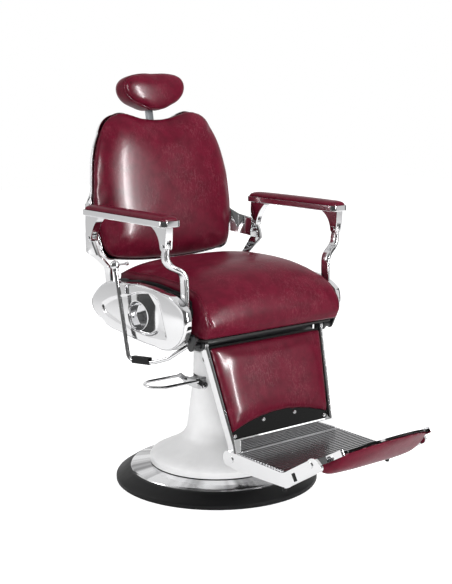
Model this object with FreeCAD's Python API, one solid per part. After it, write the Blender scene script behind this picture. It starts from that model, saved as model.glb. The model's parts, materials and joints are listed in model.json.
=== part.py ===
import FreeCAD, Part
import math
import os

# Hydraulic barber chair. Millimetres, +Z up, origin on the floor at the centre of the base.
# The chair faces -Y, and the sitter's left hand is at +X.
# The right half of a pair is built at -X and mirrored for the left half.

Vector = FreeCAD.Vector

# Fits and gaps
running_gap = 0.05
seat_gap = 0.3
soft_gap = 0.4

# Base
ring_radius = 320.0
ring_height = 42.0
ring_width = 62.0
ring_inner_radius = ring_radius - ring_width
plate_thickness = 10.0
dome_radius = ring_radius - 45.5
dome_top = 56.0
dome_wall = 3.0
dome_inner_radius = 150.0
gasket_height = 2.5
cover_rim_radius = 212.0
cover_wall = 4.0
cover_top = 416.0
column_radius = 75.0

# Hydraulic cylinder and ram
flange_radius = 105.0
flange_thickness = 12.0
jacket_radius = 54.0
ram_radius = 36.0
bore_radius = 40.0
cylinder_top = 400.0
gland_height = 12.0
neck_height = 12.0
spigot_radius = 28.0
spigot_base = 446.0
spigot_length = 40.0
base_bolt_count = 6
base_bolt_radius = 5.0

# Pump
pump_x = -85.0
pump_z = 318.0
pump_shaft_radius = 8.0
lever_rod_radius = 5.0
lever_half_width = 40.0
lever_height = 336.0
lever_tip_x = -272.0
plunger_x = -61.5
plunger_radius = 4.5
plunger_length = 27.0
finger_radius = 5.0
finger_half_width = 4.0
pump_tower_top = 362.0

# Seat
tray_half_width = 246.0
tray_front = -205.0
tray_rear = 188.0
tray_bottom = 500.0
tray_height = 14.0
tray_wall = 5.0
board_thickness = 6.0
board_front = -262.0
board_half_width = tray_half_width + 4.0
hub_radius = 96.0

# Side frames, posts and panels, outwards from the cushion
frame_x = -(tray_half_width + 13.0)
frame_thickness = 4.0
link_x = frame_x - frame_thickness - 0.8
link_thickness = 3.8
post_x = frame_x - 15.0
post_thickness = 11.0
panel_inner_x = post_x - 6.5
panel_depth = 26.0
panel_outer_x = panel_inner_x - panel_depth
panel_wall = 5.0
panel_face = 9.0
scoop_depth = 15.0
cup_y = 0.0
cup_z = 557.0
cup_mouth_radius = 43.0
cup_floor_radius = 38.0
cup_floor_x = frame_x - 10.0
cup_wall = 3.0
panel_spacer_places = ((-120.0, 636.0), (60.0, 638.0))

# Recline linkage: the lower pivots and the upper pins make a parallelogram
back_pivot_y = 180.0
back_pivot_z = 580.0
post_pivot_y = -205.0
post_pivot_z = 595.0
arm_rise_y = 17.0
arm_rise_z = 192.0
arm_pin_x = post_x - 54.0
arm_pin_radius = 5.0
pivot_bolt_radius = 8.0
crank_y = -17.0
crank_z = 25.0
link_pin_radius = 5.0
link_width = 14.0
open_pivot_gap = 0.3
leg_pivot_y = -226.0
leg_pivot_z = 498.0
leg_lean = 16.3
hinge_shaft_radius = 9.0

# Arms
arm_width = 65.0
arm_x = arm_pin_x + 4.0
arm_front = -214.0
arm_rear = 210.0
arm_bottom = 843.0
arm_tray_height = 18.0
arm_tray_wall = 3.5
arm_pocket = 4.0
arm_pad_height = 17.0
fork_gap = 15.0
fork_cheek = 5.0
eye_thickness = 14.0
eye_radius = 13.0

# Back
back_lean = 10.3
back_foot_y = 246.0
back_foot_z = 677.0
cushion_front = 62.0
cushion_rear = 16.0
back_middle_w = 235.0
shell_depth = 58.0
shell_wall = 4.0
shell_front = -5.0
shell_share = 1.01
bracket_reach_in = 1.0115
bracket_reach_out = 1.03
shell_bolt_rows = (100.0, 165.0)
shell_bolt_radius = 4.0
shell_bolt_n = -24.0

# Headrest
stem_width = 26.0
stem_thickness = 8.0
stem_n = -24.0
stem_foot = 236.0
clamp_w = 390.0
guide_foot = clamp_w - 60.0
guide_top = clamp_w + 56.0
guide_wall = 3.0
clamp_screw_radius = 4.0
head_w = 536.0
head_n = -3.0
head_half_width = 129.0
head_half_height = 60.0
head_pin_w = 524.0
head_pin_radius = 4.0
head_channel_half = 20.0
head_channel_wall = 3.0

# Leg rest
bar_top_x = -(tray_half_width - 21.5)
bar_top_thickness = 11.0
bar_foot_thickness = 9.0
bar_front = 13.5
bar_rear = -13.0
bar_eye_radius = 14.0
bar_straight_foot = 38.0
leg_board_thickness = 6.0
leg_board_bottom = 284.0
leg_pad_top = 9.0
leg_pad_bottom = 267.0
leg_pad_arch = 35.0
leg_pad_thickness = 21.0
leg_tube_radius = 9.0
leg_tube_d = 40.0
leg_tube_f = -10.0
button_radius = 6.5

# Footrest
rail_outer_x = bar_top_x + 20.0
rail_thickness = 8.0
foot_bolt_y = -325.0
foot_bolt_z = 176.0
foot_bolt_radius = 6.0
plate_top = 200.0
plate_depth = 9.0
plate_front = -547.0
plate_rear = -343.0
plate_lip = 236.0
rib_count = 16
groove_depth = 2.4
cross_tube_radius = 7.0
flip_y = -657.0
flip_z = 247.0
flip_slope = 30.0
flip_pin_radius = 6.0
flip_half_width = 165.0
flip_rear = -34.0
flip_side = 92.0
flip_tip = 148.0
flip_board_thickness = 6.0
flip_pad_thickness = 36.0
flip_arm_end = 100.0
flip_knuckle = 9.0

# Recline lever
lever_pivot = Vector(-(tray_half_width + 7), -196, 500)
lever_stud_radius = 6.0
lever_bar_radius = 6.5
knob_radius = 14.0


# Shape helpers
def outline(place, start, *steps):
    """Closed wire from 2D steps: a point is a straight run, a pair of points is an arc via the first."""
    edges = []
    here = start
    for step in steps + (start,):
        if isinstance(step[0], tuple):
            via, to = step
            edges.append(Part.Arc(place(*here), place(*via), place(*to)).toShape())
        elif step != here:
            to = step
            edges.append(Part.LineSegment(place(*here), place(*to)).toShape())
        here = to
    return Part.Wire(edges)


def in_xz(x, z):
    return Vector(x, 0, z)


def in_yz(x):
    return lambda y, z: Vector(x, y, z)


def turned(start, *steps):
    """Solid of revolution about Z from a profile of radius and height."""
    return Part.Face(outline(in_xz, start, *steps)).revolve(Vector(0, 0, 0), Vector(0, 0, 1), 360)


def slab(x_from, x_to, start, *steps):
    """Flat piece: a YZ outline given a thickness along X."""
    return Part.Face(outline(in_yz(x_from), start, *steps)).extrude(Vector(x_to - x_from, 0, 0))


def box(x0, x1, y0, y1, z0, z1):
    return Part.makeBox(x1 - x0, y1 - y0, z1 - z0, Vector(x0, y0, z0))


def round_x(x_from, x_to, y, z, radius):
    """Cylinder along X."""
    return Part.makeCylinder(radius, abs(x_to - x_from), Vector(min(x_from, x_to), y, z), Vector(1, 0, 0))


def rod(points, bends, radius):
    """Round bar along straight runs joined by arcs of the given bend radii."""
    edges = []
    here = points[0]
    for before, corner, after, bend in zip(points, points[1:], points[2:], bends):
        into = (corner - before).normalize()
        out = (after - corner).normalize()
        turn = into.getAngle(out)
        reach = bend * math.tan(turn / 2)
        first = corner - into * reach
        last = corner + out * reach
        inward = (out - into).normalize()
        middle = corner + inward * (bend / math.cos(turn / 2) - bend)
        edges.append(Part.LineSegment(here, first).toShape())
        edges.append(Part.Arc(first, middle, last).toShape())
        here = last
    edges.append(Part.LineSegment(here, points[-1]).toShape())
    path = Part.Wire(edges)
    circle = Part.Wire(Part.makeCircle(radius, points[0], points[1] - points[0]))
    return path.makePipeShell([circle], True, False)


def lofted(slices):
    """Solid with straight rulings from each slice to the next."""
    return Part.makeLoft(slices, True, True)


def sampled(wire, count):
    """The outline again as straight runs, for cushions whose skin needs no finer form here."""
    points = wire.discretize(Number=count + 1)
    return Part.makePolygon(points[:-1] + points[:1])


def mirrored(shape):
    return shape.mirror(Vector(0, 0, 0), Vector(1, 0, 0))


def pair(shape):
    return Part.makeCompound([shape, mirrored(shape)])


def fused(first, *others):
    return first.fuse(list(others)).removeSplitter()


def bolt_head(x, y, z, across, height, direction):
    """Hexagon head with its face at x, standing out along X."""
    corners = []
    for side in range(6):
        angle = math.radians(60 * side + 30)
        corners.append(Vector(x, y + across / math.sqrt(3) * math.cos(angle),
                              z + across / math.sqrt(3) * math.sin(angle)))
    return Part.Face(Part.makePolygon(corners + corners[:1])).extrude(Vector(direction * height, 0, 0))


# Base
def floor_plate():
    disc = turned((0, 0), (ring_inner_radius, 0), (ring_inner_radius, plate_thickness), (0, plate_thickness))
    return disc.cut(Part.makeCompound(base_bolt_shanks()))


def base_rubber_ring():
    inner = ring_inner_radius + 0.2
    ledge = ring_height - 5
    return turned((inner, 0), (ring_radius - 2, 0), (ring_radius, 2), (ring_radius, 13), (ring_radius - 4, 18),
                  (dome_radius + 8, ring_height - 2), (dome_radius + 0.2, ring_height),
                  (dome_radius + 0.2, ledge), (inner, ledge))


def base_dome_ring():
    lip = ring_height - 5
    under = dome_top - dome_wall
    return turned((dome_radius, lip), (dome_radius, lip + 5), (dome_radius - 2.5, lip + 8.6),
                  (dome_radius - 8, lip + 10.6), (cover_rim_radius + 4, dome_top), (dome_inner_radius, dome_top),
                  (dome_inner_radius, plate_thickness), (dome_inner_radius + dome_wall, plate_thickness),
                  (dome_inner_radius + dome_wall, under), (cover_rim_radius + 4, under),
                  (dome_radius - dome_wall, lip + 6), (dome_radius - dome_wall, lip))


def cover_gasket():
    outer = cover_rim_radius - 2
    inner = cover_rim_radius - 12
    return turned((inner, dome_top), (outer, dome_top), (outer, dome_top + gasket_height),
                  (inner, dome_top + gasket_height))


def column_cover():
    rim = dome_top + gasket_height
    neck = column_radius - 2
    collar = jacket_radius - 12
    outside = [
        (cover_rim_radius, rim + 18), (cover_rim_radius - 6, rim + 26), (145, rim + 56), (112, rim + 78),
        (column_radius + 21, rim + 104), (column_radius, rim + 268), (neck, cover_top - 3), (neck - 3, cover_top)]
    inside = [
        (collar, cover_top), (collar, cover_top - cover_wall), (neck - cover_wall, cover_top - cover_wall),
        (column_radius - cover_wall, rim + 268), (column_radius + 17, rim + 104), (108, rim + 76),
        (cover_rim_radius - cover_wall, rim + 18), (cover_rim_radius - cover_wall, rim)]
    shell = turned((cover_rim_radius, rim), *outside, *inside)
    slot = box(pump_x - 20, -40, -32, 32, pump_z - 17, pump_z + 22)
    return shell.cut(slot)


def base_bolt_places():
    places = []
    for number in range(base_bolt_count):
        angle = math.radians(360 / base_bolt_count * number + 30)
        radius = (flange_radius + jacket_radius) / 2
        places.append(Vector(radius * math.cos(angle), radius * math.sin(angle), 0))
    return places


def base_bolt_shanks():
    foot = 2.0
    length = plate_thickness + flange_thickness - foot
    return [Part.makeCylinder(base_bolt_radius, length, place + Vector(0, 0, foot))
            for place in base_bolt_places()]


def base_bolts():
    top = plate_thickness + flange_thickness
    bolts = []
    for place, shank in zip(base_bolt_places(), base_bolt_shanks()):
        head = Part.makePolygon([place + Vector(9.5 * math.cos(math.radians(60 * side)),
                                                9.5 * math.sin(math.radians(60 * side)), top)
                                 for side in range(7)])
        bolts.append(fused(shank, Part.Face(head).extrude(Vector(0, 0, 7))))
    return Part.makeCompound(bolts)


def hydraulic_cylinder():
    foot = plate_thickness
    top = foot + flange_thickness
    body = turned((0, foot), (flange_radius, foot), (flange_radius, top), (jacket_radius, top),
                  (jacket_radius, cylinder_top), (bore_radius, cylinder_top), (bore_radius, top + 12),
                  (0, top + 12))
    return body.cut(Part.makeCompound(base_bolt_shanks()))


def cylinder_gland():
    inner = ram_radius + running_gap
    shoulder = cylinder_top + gland_height
    neck = jacket_radius - 12.2
    return turned((inner, cylinder_top), (jacket_radius, cylinder_top), (jacket_radius, shoulder),
                  (neck, shoulder), (neck, shoulder + neck_height), (inner, shoulder + neck_height))


def piston_ram():
    head_foot = plate_thickness + flange_thickness + 12 + seat_gap
    head = bore_radius - running_gap
    return turned((0, head_foot), (head, head_foot), (head, head_foot + 24), (ram_radius, head_foot + 24),
                  (ram_radius, spigot_base), (spigot_radius, spigot_base),
                  (spigot_radius, spigot_base + spigot_length - 2), (spigot_radius - 2,
                                                                     spigot_base + spigot_length),
                  (0, spigot_base + spigot_length))


# Pump
def pump_block():
    """Housing beside the cylinder: shaft bearing, finger slot and the plunger's tower."""
    front = pump_x - 12
    top = pump_z + 14
    body = box(front, -50, -26, 26, pump_z - 14, top)
    corners = [edge for edge in body.Edges if edge.BoundBox.XMax < front + 0.1 and edge.BoundBox.YLength > 1]
    foot = box(plunger_x - 8.5, -50, -23, 23, pump_z - 30, top)
    tower = box(plunger_x - 6.5, -50, -9.5, 9.5, pump_z, pump_tower_top)
    jacket = Part.makeCylinder(jacket_radius, 120, Vector(0, 0, pump_z - 50))
    bearing = Part.makeCylinder(pump_shaft_radius + running_gap, 60, Vector(pump_x, -30, pump_z), Vector(0, 1, 0))
    slot = box(pump_x - 9, -jacket_radius, -finger_half_width - 1, finger_half_width + 1, pump_z - 31, top - 0.5)
    bore = Part.makeCylinder(plunger_radius + running_gap, pump_tower_top - 4 - pump_z, Vector(plunger_x, 0, pump_z))
    return fused(body.makeFillet(6, corners), foot, tower).cut([jacket, bearing, slot, bore])


def pump_shaft():
    """Cross shaft with the finger that lifts the plunger."""
    half = lever_half_width + 2.5
    shaft = Part.makeCylinder(pump_shaft_radius, 2 * half, Vector(pump_x, -half, pump_z), Vector(0, 1, 0))
    web = box(pump_x, plunger_x, -finger_half_width, finger_half_width, pump_z - 3.5, pump_z + 3.5)
    nose = Part.makeCylinder(finger_radius, 2 * finger_half_width, Vector(plunger_x, -finger_half_width, pump_z),
                             Vector(0, 1, 0))
    return fused(shaft, web, nose)


def pump_plunger():
    foot = pump_z + finger_radius + seat_gap
    return Part.makeCylinder(plunger_radius, plunger_length, Vector(plunger_x, 0, foot))


def pump_lever():
    """Bent rod with a round end, welded to two cheeks that are screwed on the shaft's ends."""
    reach = lever_half_width + 5.5
    root_x = pump_x - 24
    bend_x = lever_tip_x + lever_rod_radius + reach
    section = Part.Face(Part.Wire(Part.makeCircle(lever_rod_radius, Vector(bend_x, -reach, lever_height),
                                                  Vector(1, 0, 0))))
    pieces = [section.revolve(Vector(bend_x, 0, lever_height), Vector(0, 0, -1), 180)]
    run_x, run_z = root_x - pump_x, lever_height - pump_z
    length = math.hypot(run_x, run_z)
    side_x, side_z = -8 * run_z / length, 8 * run_x / length
    for y in (-reach, reach):
        pieces.append(Part.makeCylinder(lever_rod_radius, root_x - bend_x, Vector(bend_x, y, lever_height),
                                        Vector(1, 0, 0)))
        inner = y - 3
        strip = outline(lambda x, z: Vector(x, inner, z), (pump_x - side_x, pump_z - side_z),
                        (pump_x + side_x, pump_z + side_z), (root_x + side_x, lever_height + side_z),
                        (root_x - side_x, lever_height - side_z))
        pieces.append(Part.Face(strip).extrude(Vector(0, 6, 0)))
        pieces.append(Part.makeCylinder(12, 6, Vector(pump_x, inner, pump_z), Vector(0, 1, 0)))
        pieces.append(Part.makeCylinder(8.5, 6, Vector(root_x, inner, lever_height), Vector(0, 1, 0)))
        screw_y = y - 5.5 if y < 0 else y + 2.5
        pieces.append(Part.makeCylinder(5, 3, Vector(pump_x, screw_y, pump_z), Vector(0, 1, 0)))
    return fused(*pieces)


# Seat
def swivel_hub():
    foot = spigot_base + seat_gap
    bore = spigot_radius + running_gap
    roof = spigot_base + spigot_length + seat_gap
    return turned((bore, foot), (52, foot), (58, foot + 26), (hub_radius, tray_bottom - 10), (hub_radius, tray_bottom),
                  (0, tray_bottom), (0, roof), (bore, roof))


def seat_frame():
    top = tray_bottom + tray_height
    skin = 3.0
    tray = box(-tray_half_width, tray_half_width, tray_front, tray_rear, tray_bottom, top)
    inside = tray_wall
    hollow = box(-tray_half_width + inside, tray_half_width - inside, tray_front + inside, tray_rear - inside,
                 tray_bottom - 1, top - skin)
    pad = Part.makeCylinder(hub_radius, tray_height - skin, Vector(0, 0, tray_bottom))
    ribs = [box(-tray_half_width + inside, tray_half_width - inside, y - 2, y + 2, tray_bottom, top - skin)
            for y in (-120, 120)]
    pieces = [tray.cut(hollow), pad] + ribs
    for side in (-1, 1):
        x0 = side * (tray_half_width - 8) - 4
        ear = slab(x0, x0 + 8, (tray_front + 10, top - skin), (tray_front + 10, tray_bottom - 20),
                   (leg_pivot_y, leg_pivot_z - 16), ((leg_pivot_y - 16, leg_pivot_z), (leg_pivot_y - 8, leg_pivot_z + 14)),
                   (leg_pivot_y + 4, top - skin))
        pieces.append(ear)
    frame = fused(*pieces)
    bores = [round_x(side * tray_half_width - 20, side * tray_half_width + 20, leg_pivot_y, leg_pivot_z,
                     9 + running_gap) for side in (-1, 1)]
    return frame.cut(bores)


def seat_board():
    bottom = tray_bottom + tray_height
    return Part.Face(outline(lambda x, y: Vector(x, y, bottom),
                             (-board_half_width, tray_rear), (-board_half_width, board_front + 20),
                             ((-board_half_width + 6, board_front + 6), (-board_half_width + 20, board_front)),
                             (board_half_width - 20, board_front),
                             ((board_half_width - 6, board_front + 6), (board_half_width, board_front + 20)),
                             (board_half_width, tray_rear))).extrude(Vector(0, 0, board_thickness))


# Each row is a slice of the cushion: y, half width past the tray's, bottom, seam and crown heights
seat_slices = [
    (tray_rear - 3, 0, 0, 138, 152),
    (120, 6.5, 0, 157, 176),
    (0, 7, 0, 163, 185),
    (-120, 7.5, 0, 159, 183),
    (-222, 7.5, 0, 134, 161),
    (-250, 15, 0, 114, 146),
    (-276, 18, 6, 82, 116),
    (-292, 12, 22, 58, 84),
    (-297, 4, 34, 46, 58)]


def seat_cushion():
    base = tray_bottom + tray_height + board_thickness + soft_gap
    slices = []
    for y, past, low, seam, crown in seat_slices:
        half = tray_half_width + past

        def place(x, z, y=y):
            return Vector(x, y, base + z)
        bulge = 5.0
        inset = 6.0
        slices.append(outline(place, (-half + inset, low), (half - inset, low),
                              ((half + bulge - 3, (low + seam) / 2), (half - 4, seam)),
                              ((0, crown), (-half + 4, seam)),
                              ((-half - bulge + 3, (low + seam) / 2), (-half + inset, low))))
    return lofted(slices)


# Side frames and panels
panel_outline = [
    ((-245, 571), (-238, 607)), ((-190, 634), (-125, 646)), ((-20, 655), (90, 646)), ((190, 627), (236, 590)),
    ((247, 566), (232, 538)), ((170, 506), (100, 494)), ((0, 481), (-98, 479)), ((-170, 482), (-206, 500))]


def panel_shape(x, inset):
    """Oval outline of the side panel at x, drawn in by inset."""
    centre_y, centre_z = 1.0, 565.0
    long_share = 1 - inset / 246.0
    high_share = 1 - inset / 85.0

    def drawn_in(point):
        return (centre_y + (point[0] - centre_y) * long_share, centre_z + (point[1] - centre_z) * high_share)
    steps = [(drawn_in(via), drawn_in(to)) for via, to in panel_outline]
    return outline(in_yz(x), steps[-1][1], *steps)


def scoop(grow):
    """Tail-shaped scoop in the panel's face: shallow at its rear tip, deep at its front wall."""
    tip_y = 182.0 + grow
    plan = outline(in_yz(panel_outer_x - 2), (tip_y, 565 + grow), ((120, 596 + grow), (19, 622 + grow)),
                   ((-48, 635 + grow), (-106, 628 + grow)), ((-118 - grow, 618), (-124 - grow, 606)),
                   ((-140 - grow, 565), (-158 - grow, 512 - grow)), ((-80, 507 - grow), (-18, 510 - grow)),
                   ((101, 525 - grow), (tip_y, 549 - grow)))
    prism = Part.Face(plan).extrude(Vector(30, 0, 0))
    wedge = Part.Face(outline(lambda x, y: Vector(x, y, 400), (panel_outer_x - 3, 200), (panel_outer_x + 0.6 + grow, 200),
                              (panel_outer_x + scoop_depth + grow, -120), (panel_outer_x + scoop_depth + grow, -250),
                              (panel_outer_x - 3, -250)))
    return prism.common(wedge.extrude(Vector(0, 0, 300)))


def side_panel():
    body = lofted([panel_shape(panel_outer_x, 7), panel_shape(panel_outer_x + 2, 2.5),
                   panel_shape(panel_outer_x + 6, 0), panel_shape(panel_inner_x, 0)])
    depth = panel_inner_x - panel_outer_x
    cavity = Part.Face(panel_shape(panel_outer_x + panel_face, panel_wall)).extrude(Vector(depth, 0, 0))
    cup_outer = round_x(panel_outer_x + 3, cup_floor_x, cup_y, cup_z, cup_mouth_radius + cup_wall)
    cup = Part.makeCone(cup_mouth_radius, cup_floor_radius, cup_floor_x - cup_wall - panel_outer_x,
                        Vector(panel_outer_x, cup_y, cup_z), Vector(1, 0, 0))
    bosses = [round_x(panel_outer_x + panel_face - 1, panel_inner_x, y, z, 15)
              for y, z in ((back_pivot_y, back_pivot_z), (post_pivot_y, post_pivot_z))]
    holes = [round_x(panel_outer_x + panel_face + 3, panel_inner_x + 5, y, z, pivot_bolt_radius)
             for y, z in ((back_pivot_y, back_pivot_z), (post_pivot_y, post_pivot_z))]
    pan = scoop(3.0).common(body)
    return fused(fused(body.cut(cavity), pan).cut(scoop(0)), cup_outer, *bosses).cut([cup] + holes)


def side_frame():
    outer = frame_x - frame_thickness
    plate = slab(outer, frame_x, (-222, 590), ((-210, 620), (-160, 637)), ((-20, 646), (100, 637)),
                 ((180, 618), (206, 592)), ((210, 560), (180, 540)), (120, tray_bottom - 4), (-168, tray_bottom - 4),
                 (-186, 520))
    foot = box(outer, -tray_half_width + 30, -150, 110, tray_bottom - 4, tray_bottom)
    spacers = [round_x(frame_x - 1, panel_outer_x + panel_face, y, z, 5) for y, z in panel_spacer_places]
    holes = [round_x(outer - 5, frame_x + 5, y, z, pivot_bolt_radius)
             for y, z in ((back_pivot_y, back_pivot_z), (post_pivot_y, post_pivot_z))]
    return fused(plate, foot, *spacers).cut(holes)


def side_bolts():
    bolts = []
    for y, z in ((back_pivot_y, back_pivot_z), (post_pivot_y, post_pivot_z)):
        shank = round_x(panel_outer_x + panel_face + 3, frame_x, y, z, pivot_bolt_radius)
        head = bolt_head(frame_x, y, z, 22, 3, 1)
        bolts.append(fused(shank, head))
        bolts.append(mirrored(bolts[-1]))
    return Part.makeCompound(bolts)


# Recline lever
def lever_stud():
    return fused(round_x(-tray_half_width, lever_pivot.x - 6, lever_pivot.y, lever_pivot.z, lever_stud_radius),
                 round_x(lever_pivot.x - 4.7, lever_pivot.x - 8, lever_pivot.y, lever_pivot.z, 9))


def recline_path():
    beside = panel_outer_x - 13.5
    return [lever_pivot + Vector(-1, 7, -7), Vector(panel_outer_x + 21.5, -135, 450),
            Vector(panel_outer_x + 2.5, -85, 432), Vector(beside, 18, 424), Vector(beside, 82, 690)]


def recline_lever():
    bar = rod(recline_path(), [30, 60, 22], lever_bar_radius)
    boss = round_x(lever_pivot.x - 4.4, lever_pivot.x + 4.4, lever_pivot.y, lever_pivot.z, 13)
    bore = round_x(lever_pivot.x - 20, lever_pivot.x + 20, lever_pivot.y, lever_pivot.z, lever_stud_radius + running_gap)
    head_room = round_x(lever_pivot.x - 20, lever_pivot.x - 4.4, lever_pivot.y, lever_pivot.z, 9.5)
    return fused(bar, boss).cut(bore).cut(head_room)


def recline_knob():
    top = recline_path()[-1]
    along = (top - recline_path()[-2]).normalize()
    centre = top + along * (knob_radius - 2)
    r = knob_radius
    ball = turned((0, -r - 6), (lever_bar_radius + 2.5, -r - 6), (lever_bar_radius + 2.5, -0.8 * r), (r, -0.35 * r),
                  (r, 0.35 * r), (0.7 * r, 0.8 * r), (0, r))
    ball.Placement = FreeCAD.Placement(centre, FreeCAD.Rotation(Vector(0, 0, 1), along))
    pin = Part.makeCylinder(3.5, 44, centre, Vector(1, 0, 0))
    button = Part.makeCylinder(6, 10, centre + Vector(38, 0, 0), Vector(1, 0, 0))
    socket = Part.makeCylinder(lever_bar_radius, 20, top - along * 20, along)
    return fused(ball, pin, button).cut(socket)


def recline_pedal():
    """Rubber foot block threaded on the rod's straight run."""
    start = recline_path()[2]
    along = recline_path()[3] - start
    length = along.Length
    along.normalize()
    first, last = 12.0, length - 21
    block = Part.makeBox(17, last - first, 22, Vector(-8.5, first, -8))
    block = block.makeChamfer(2, [edge for edge in block.Edges if edge.BoundBox.YLength > 50])
    yaw = math.degrees(math.atan2(-along.x, along.y))
    pitch = math.degrees(math.asin(along.z))
    block.rotate(Vector(0, 0, 0), Vector(1, 0, 0), pitch)
    block.rotate(Vector(0, 0, 0), Vector(0, 0, 1), yaw)
    block.translate(start)
    return block.cut(Part.makeCylinder(lever_bar_radius, length, start, along))


# Front arm posts and rear brackets
def post_slice(x, y, z, thick, deep):
    """Level slice of a post: flat cheeks along X, rounded ends along Y."""
    cap = 0.5 * thick / 2
    half = deep / 2
    return outline(lambda u, v: Vector(x + u, y + v, z),
                   (-thick / 2, -half + cap), (-thick / 2 + cap, -half), (thick / 2 - cap, -half),
                   (thick / 2, -half + cap), (thick / 2, half - cap), (thick / 2 - cap, half),
                   (-thick / 2 + cap, half), (-thick / 2, half - cap))


def post_loft(rows):
    return lofted([post_slice(*row) for row in rows])


def front_post():
    foot_y, foot_z = post_pivot_y, post_pivot_z
    pin_y, pin_z = foot_y + arm_rise_y, foot_z + arm_rise_z
    blade = post_loft([
        (post_x, foot_y + 2, foot_z + 4, post_thickness, 30), (post_x, foot_y + 4, foot_z + 84, post_thickness, 31),
        (post_x - 3, foot_y + 5, foot_z + 106, 11.5, 30), (post_x - 26, foot_y + 13, foot_z + 125, 13, 27),
        (arm_pin_x + 3, foot_y + 22, foot_z + 138, 14, 26), (arm_pin_x, foot_y + 23, foot_z + 160, 14, 26),
        (arm_pin_x, pin_y, pin_z - 6, 14, 24)])
    boss = round_x(post_x - post_thickness / 2, post_x + post_thickness / 2, foot_y, foot_z, 18)
    eye = round_x(arm_pin_x - 7, arm_pin_x + 7, pin_y, pin_z, 13)
    holes = [round_x(post_x - 20, post_x + 20, foot_y, foot_z, pivot_bolt_radius + running_gap),
             round_x(arm_pin_x - 20, arm_pin_x + 20, pin_y, pin_z, arm_pin_radius + running_gap)]
    return fused(blade, boss, eye).cut(holes)


def back_bracket():
    foot_y, foot_z = back_pivot_y, back_pivot_z
    pin_y, pin_z = foot_y + arm_rise_y, foot_z + arm_rise_z
    blade = post_loft([
        (post_x, foot_y + 2, foot_z + 4, post_thickness, 32), (post_x, foot_y + 8, foot_z + 72, post_thickness, 34),
        (post_x - 3, foot_y + 9, foot_z + 96, 11.5, 36), (post_x - 26, foot_y + 8, foot_z + 120, 13, 44),
        (arm_pin_x + 4, foot_y + 12, foot_z + 142, 14, 52), (arm_pin_x, foot_y + 20, foot_z + 166, 14, 48),
        (arm_pin_x, pin_y + 8, pin_z - 4, 14, 30)])
    boss = round_x(post_x - post_thickness / 2, post_x + post_thickness / 2, foot_y, foot_z, 20)
    eye = round_x(arm_pin_x - 7, arm_pin_x + 7, pin_y, pin_z, 13)
    wing = wing_arm()
    holes = [round_x(post_x - 20, post_x + 20, foot_y, foot_z, pivot_bolt_radius + running_gap),
             round_x(arm_pin_x - 20, arm_pin_x + 20, pin_y, pin_z, arm_pin_radius + running_gap),
             round_x(post_x - 20, post_x + 20, foot_y + crank_y, foot_z + crank_z, link_pin_radius + running_gap)]
    holes += [in_shell_bolt(-1, w, shell_bolt_radius) for w in shell_bolt_rows]
    holes += [in_shell_bolt(-1, w, 9, shell_bolt_head_x(w)) for w in shell_bolt_rows]
    return fused(blade, boss, eye, wing, back_bracket_pad()).cut(holes)


def wing_arm():
    """Wide arm from the rear post back and inwards to the shell's flank."""
    rows = [(212, arm_pin_x, 12, 722, 784), (236, arm_pin_x + 7, 11, 726, 788), (258, arm_pin_x + 26, 10, 732, 796),
            (276, arm_pin_x + 46, 9, 738, 812), (292, arm_pin_x + 60, 8, 742, 834)]
    slices = []
    for y, x, thick, low, high in rows:
        slices.append(outline(lambda u, z, y=y: Vector(u, y, z), (x - thick / 2, low), (x + thick / 2, low),
                              (x + thick / 2, high - 3), (x + thick / 2 - 3, high), (x - thick / 2 + 3, high),
                              (x - thick / 2, high - 3)))
    return lofted(slices).cut(shell_block(bracket_reach_in, shell_front + 10, -80))


# Back: u to the sitter's left, w up along the lean, n forward out of the back
def in_back(u, w, n):
    lean = math.radians(back_lean)
    return Vector(u, back_foot_y + w * math.sin(lean) - n * math.cos(lean),
                  back_foot_z + w * math.cos(lean) + n * math.sin(lean))


# Right-hand half outline of the back, from the middle of the foot to the dip at the top
back_half = [((120, 4), (205, 14)), ((240, 24), (249, 60)), ((270, 180), (262, 285)), ((249, 350), (222, 415)),
             ((198, 455), (160, 472)), ((128, 478), (92, 466)), ((48, 454), (0, 452))]


def back_shape(n, share):
    """Outline of the back at depth n, drawn in to a share of its size about its middle."""
    def place(u, w):
        return in_back(u * share, back_middle_w + (w - back_middle_w) * share, n)
    right = [(via, to) for via, to in back_half]
    left = []
    points = [(0, 0)] + [to for via, to in back_half]
    vias = [via for via, to in back_half]
    for index in range(len(vias) - 1, -1, -1):
        left.append(((-vias[index][0], vias[index][1]), (-points[index][0], points[index][1])))
    left[-1] = (left[-1][0], (0, 0))
    return outline(place, (0, 0), *right, *left)


def back_cushion():
    slices = [back_shape(-cushion_rear, 0.93), back_shape(-cushion_rear + 10, 0.98), back_shape(12, 1.0),
              back_shape(34, 0.96), back_shape(50, 0.83), back_shape(cushion_front, 0.5)]
    return lofted([sampled(wire, 56) for wire in slices])


def shell_block(share, front, rear):
    """Solid filled form of the back between two depths."""
    return lofted([back_shape(front, share), back_shape(rear, share)])


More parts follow.
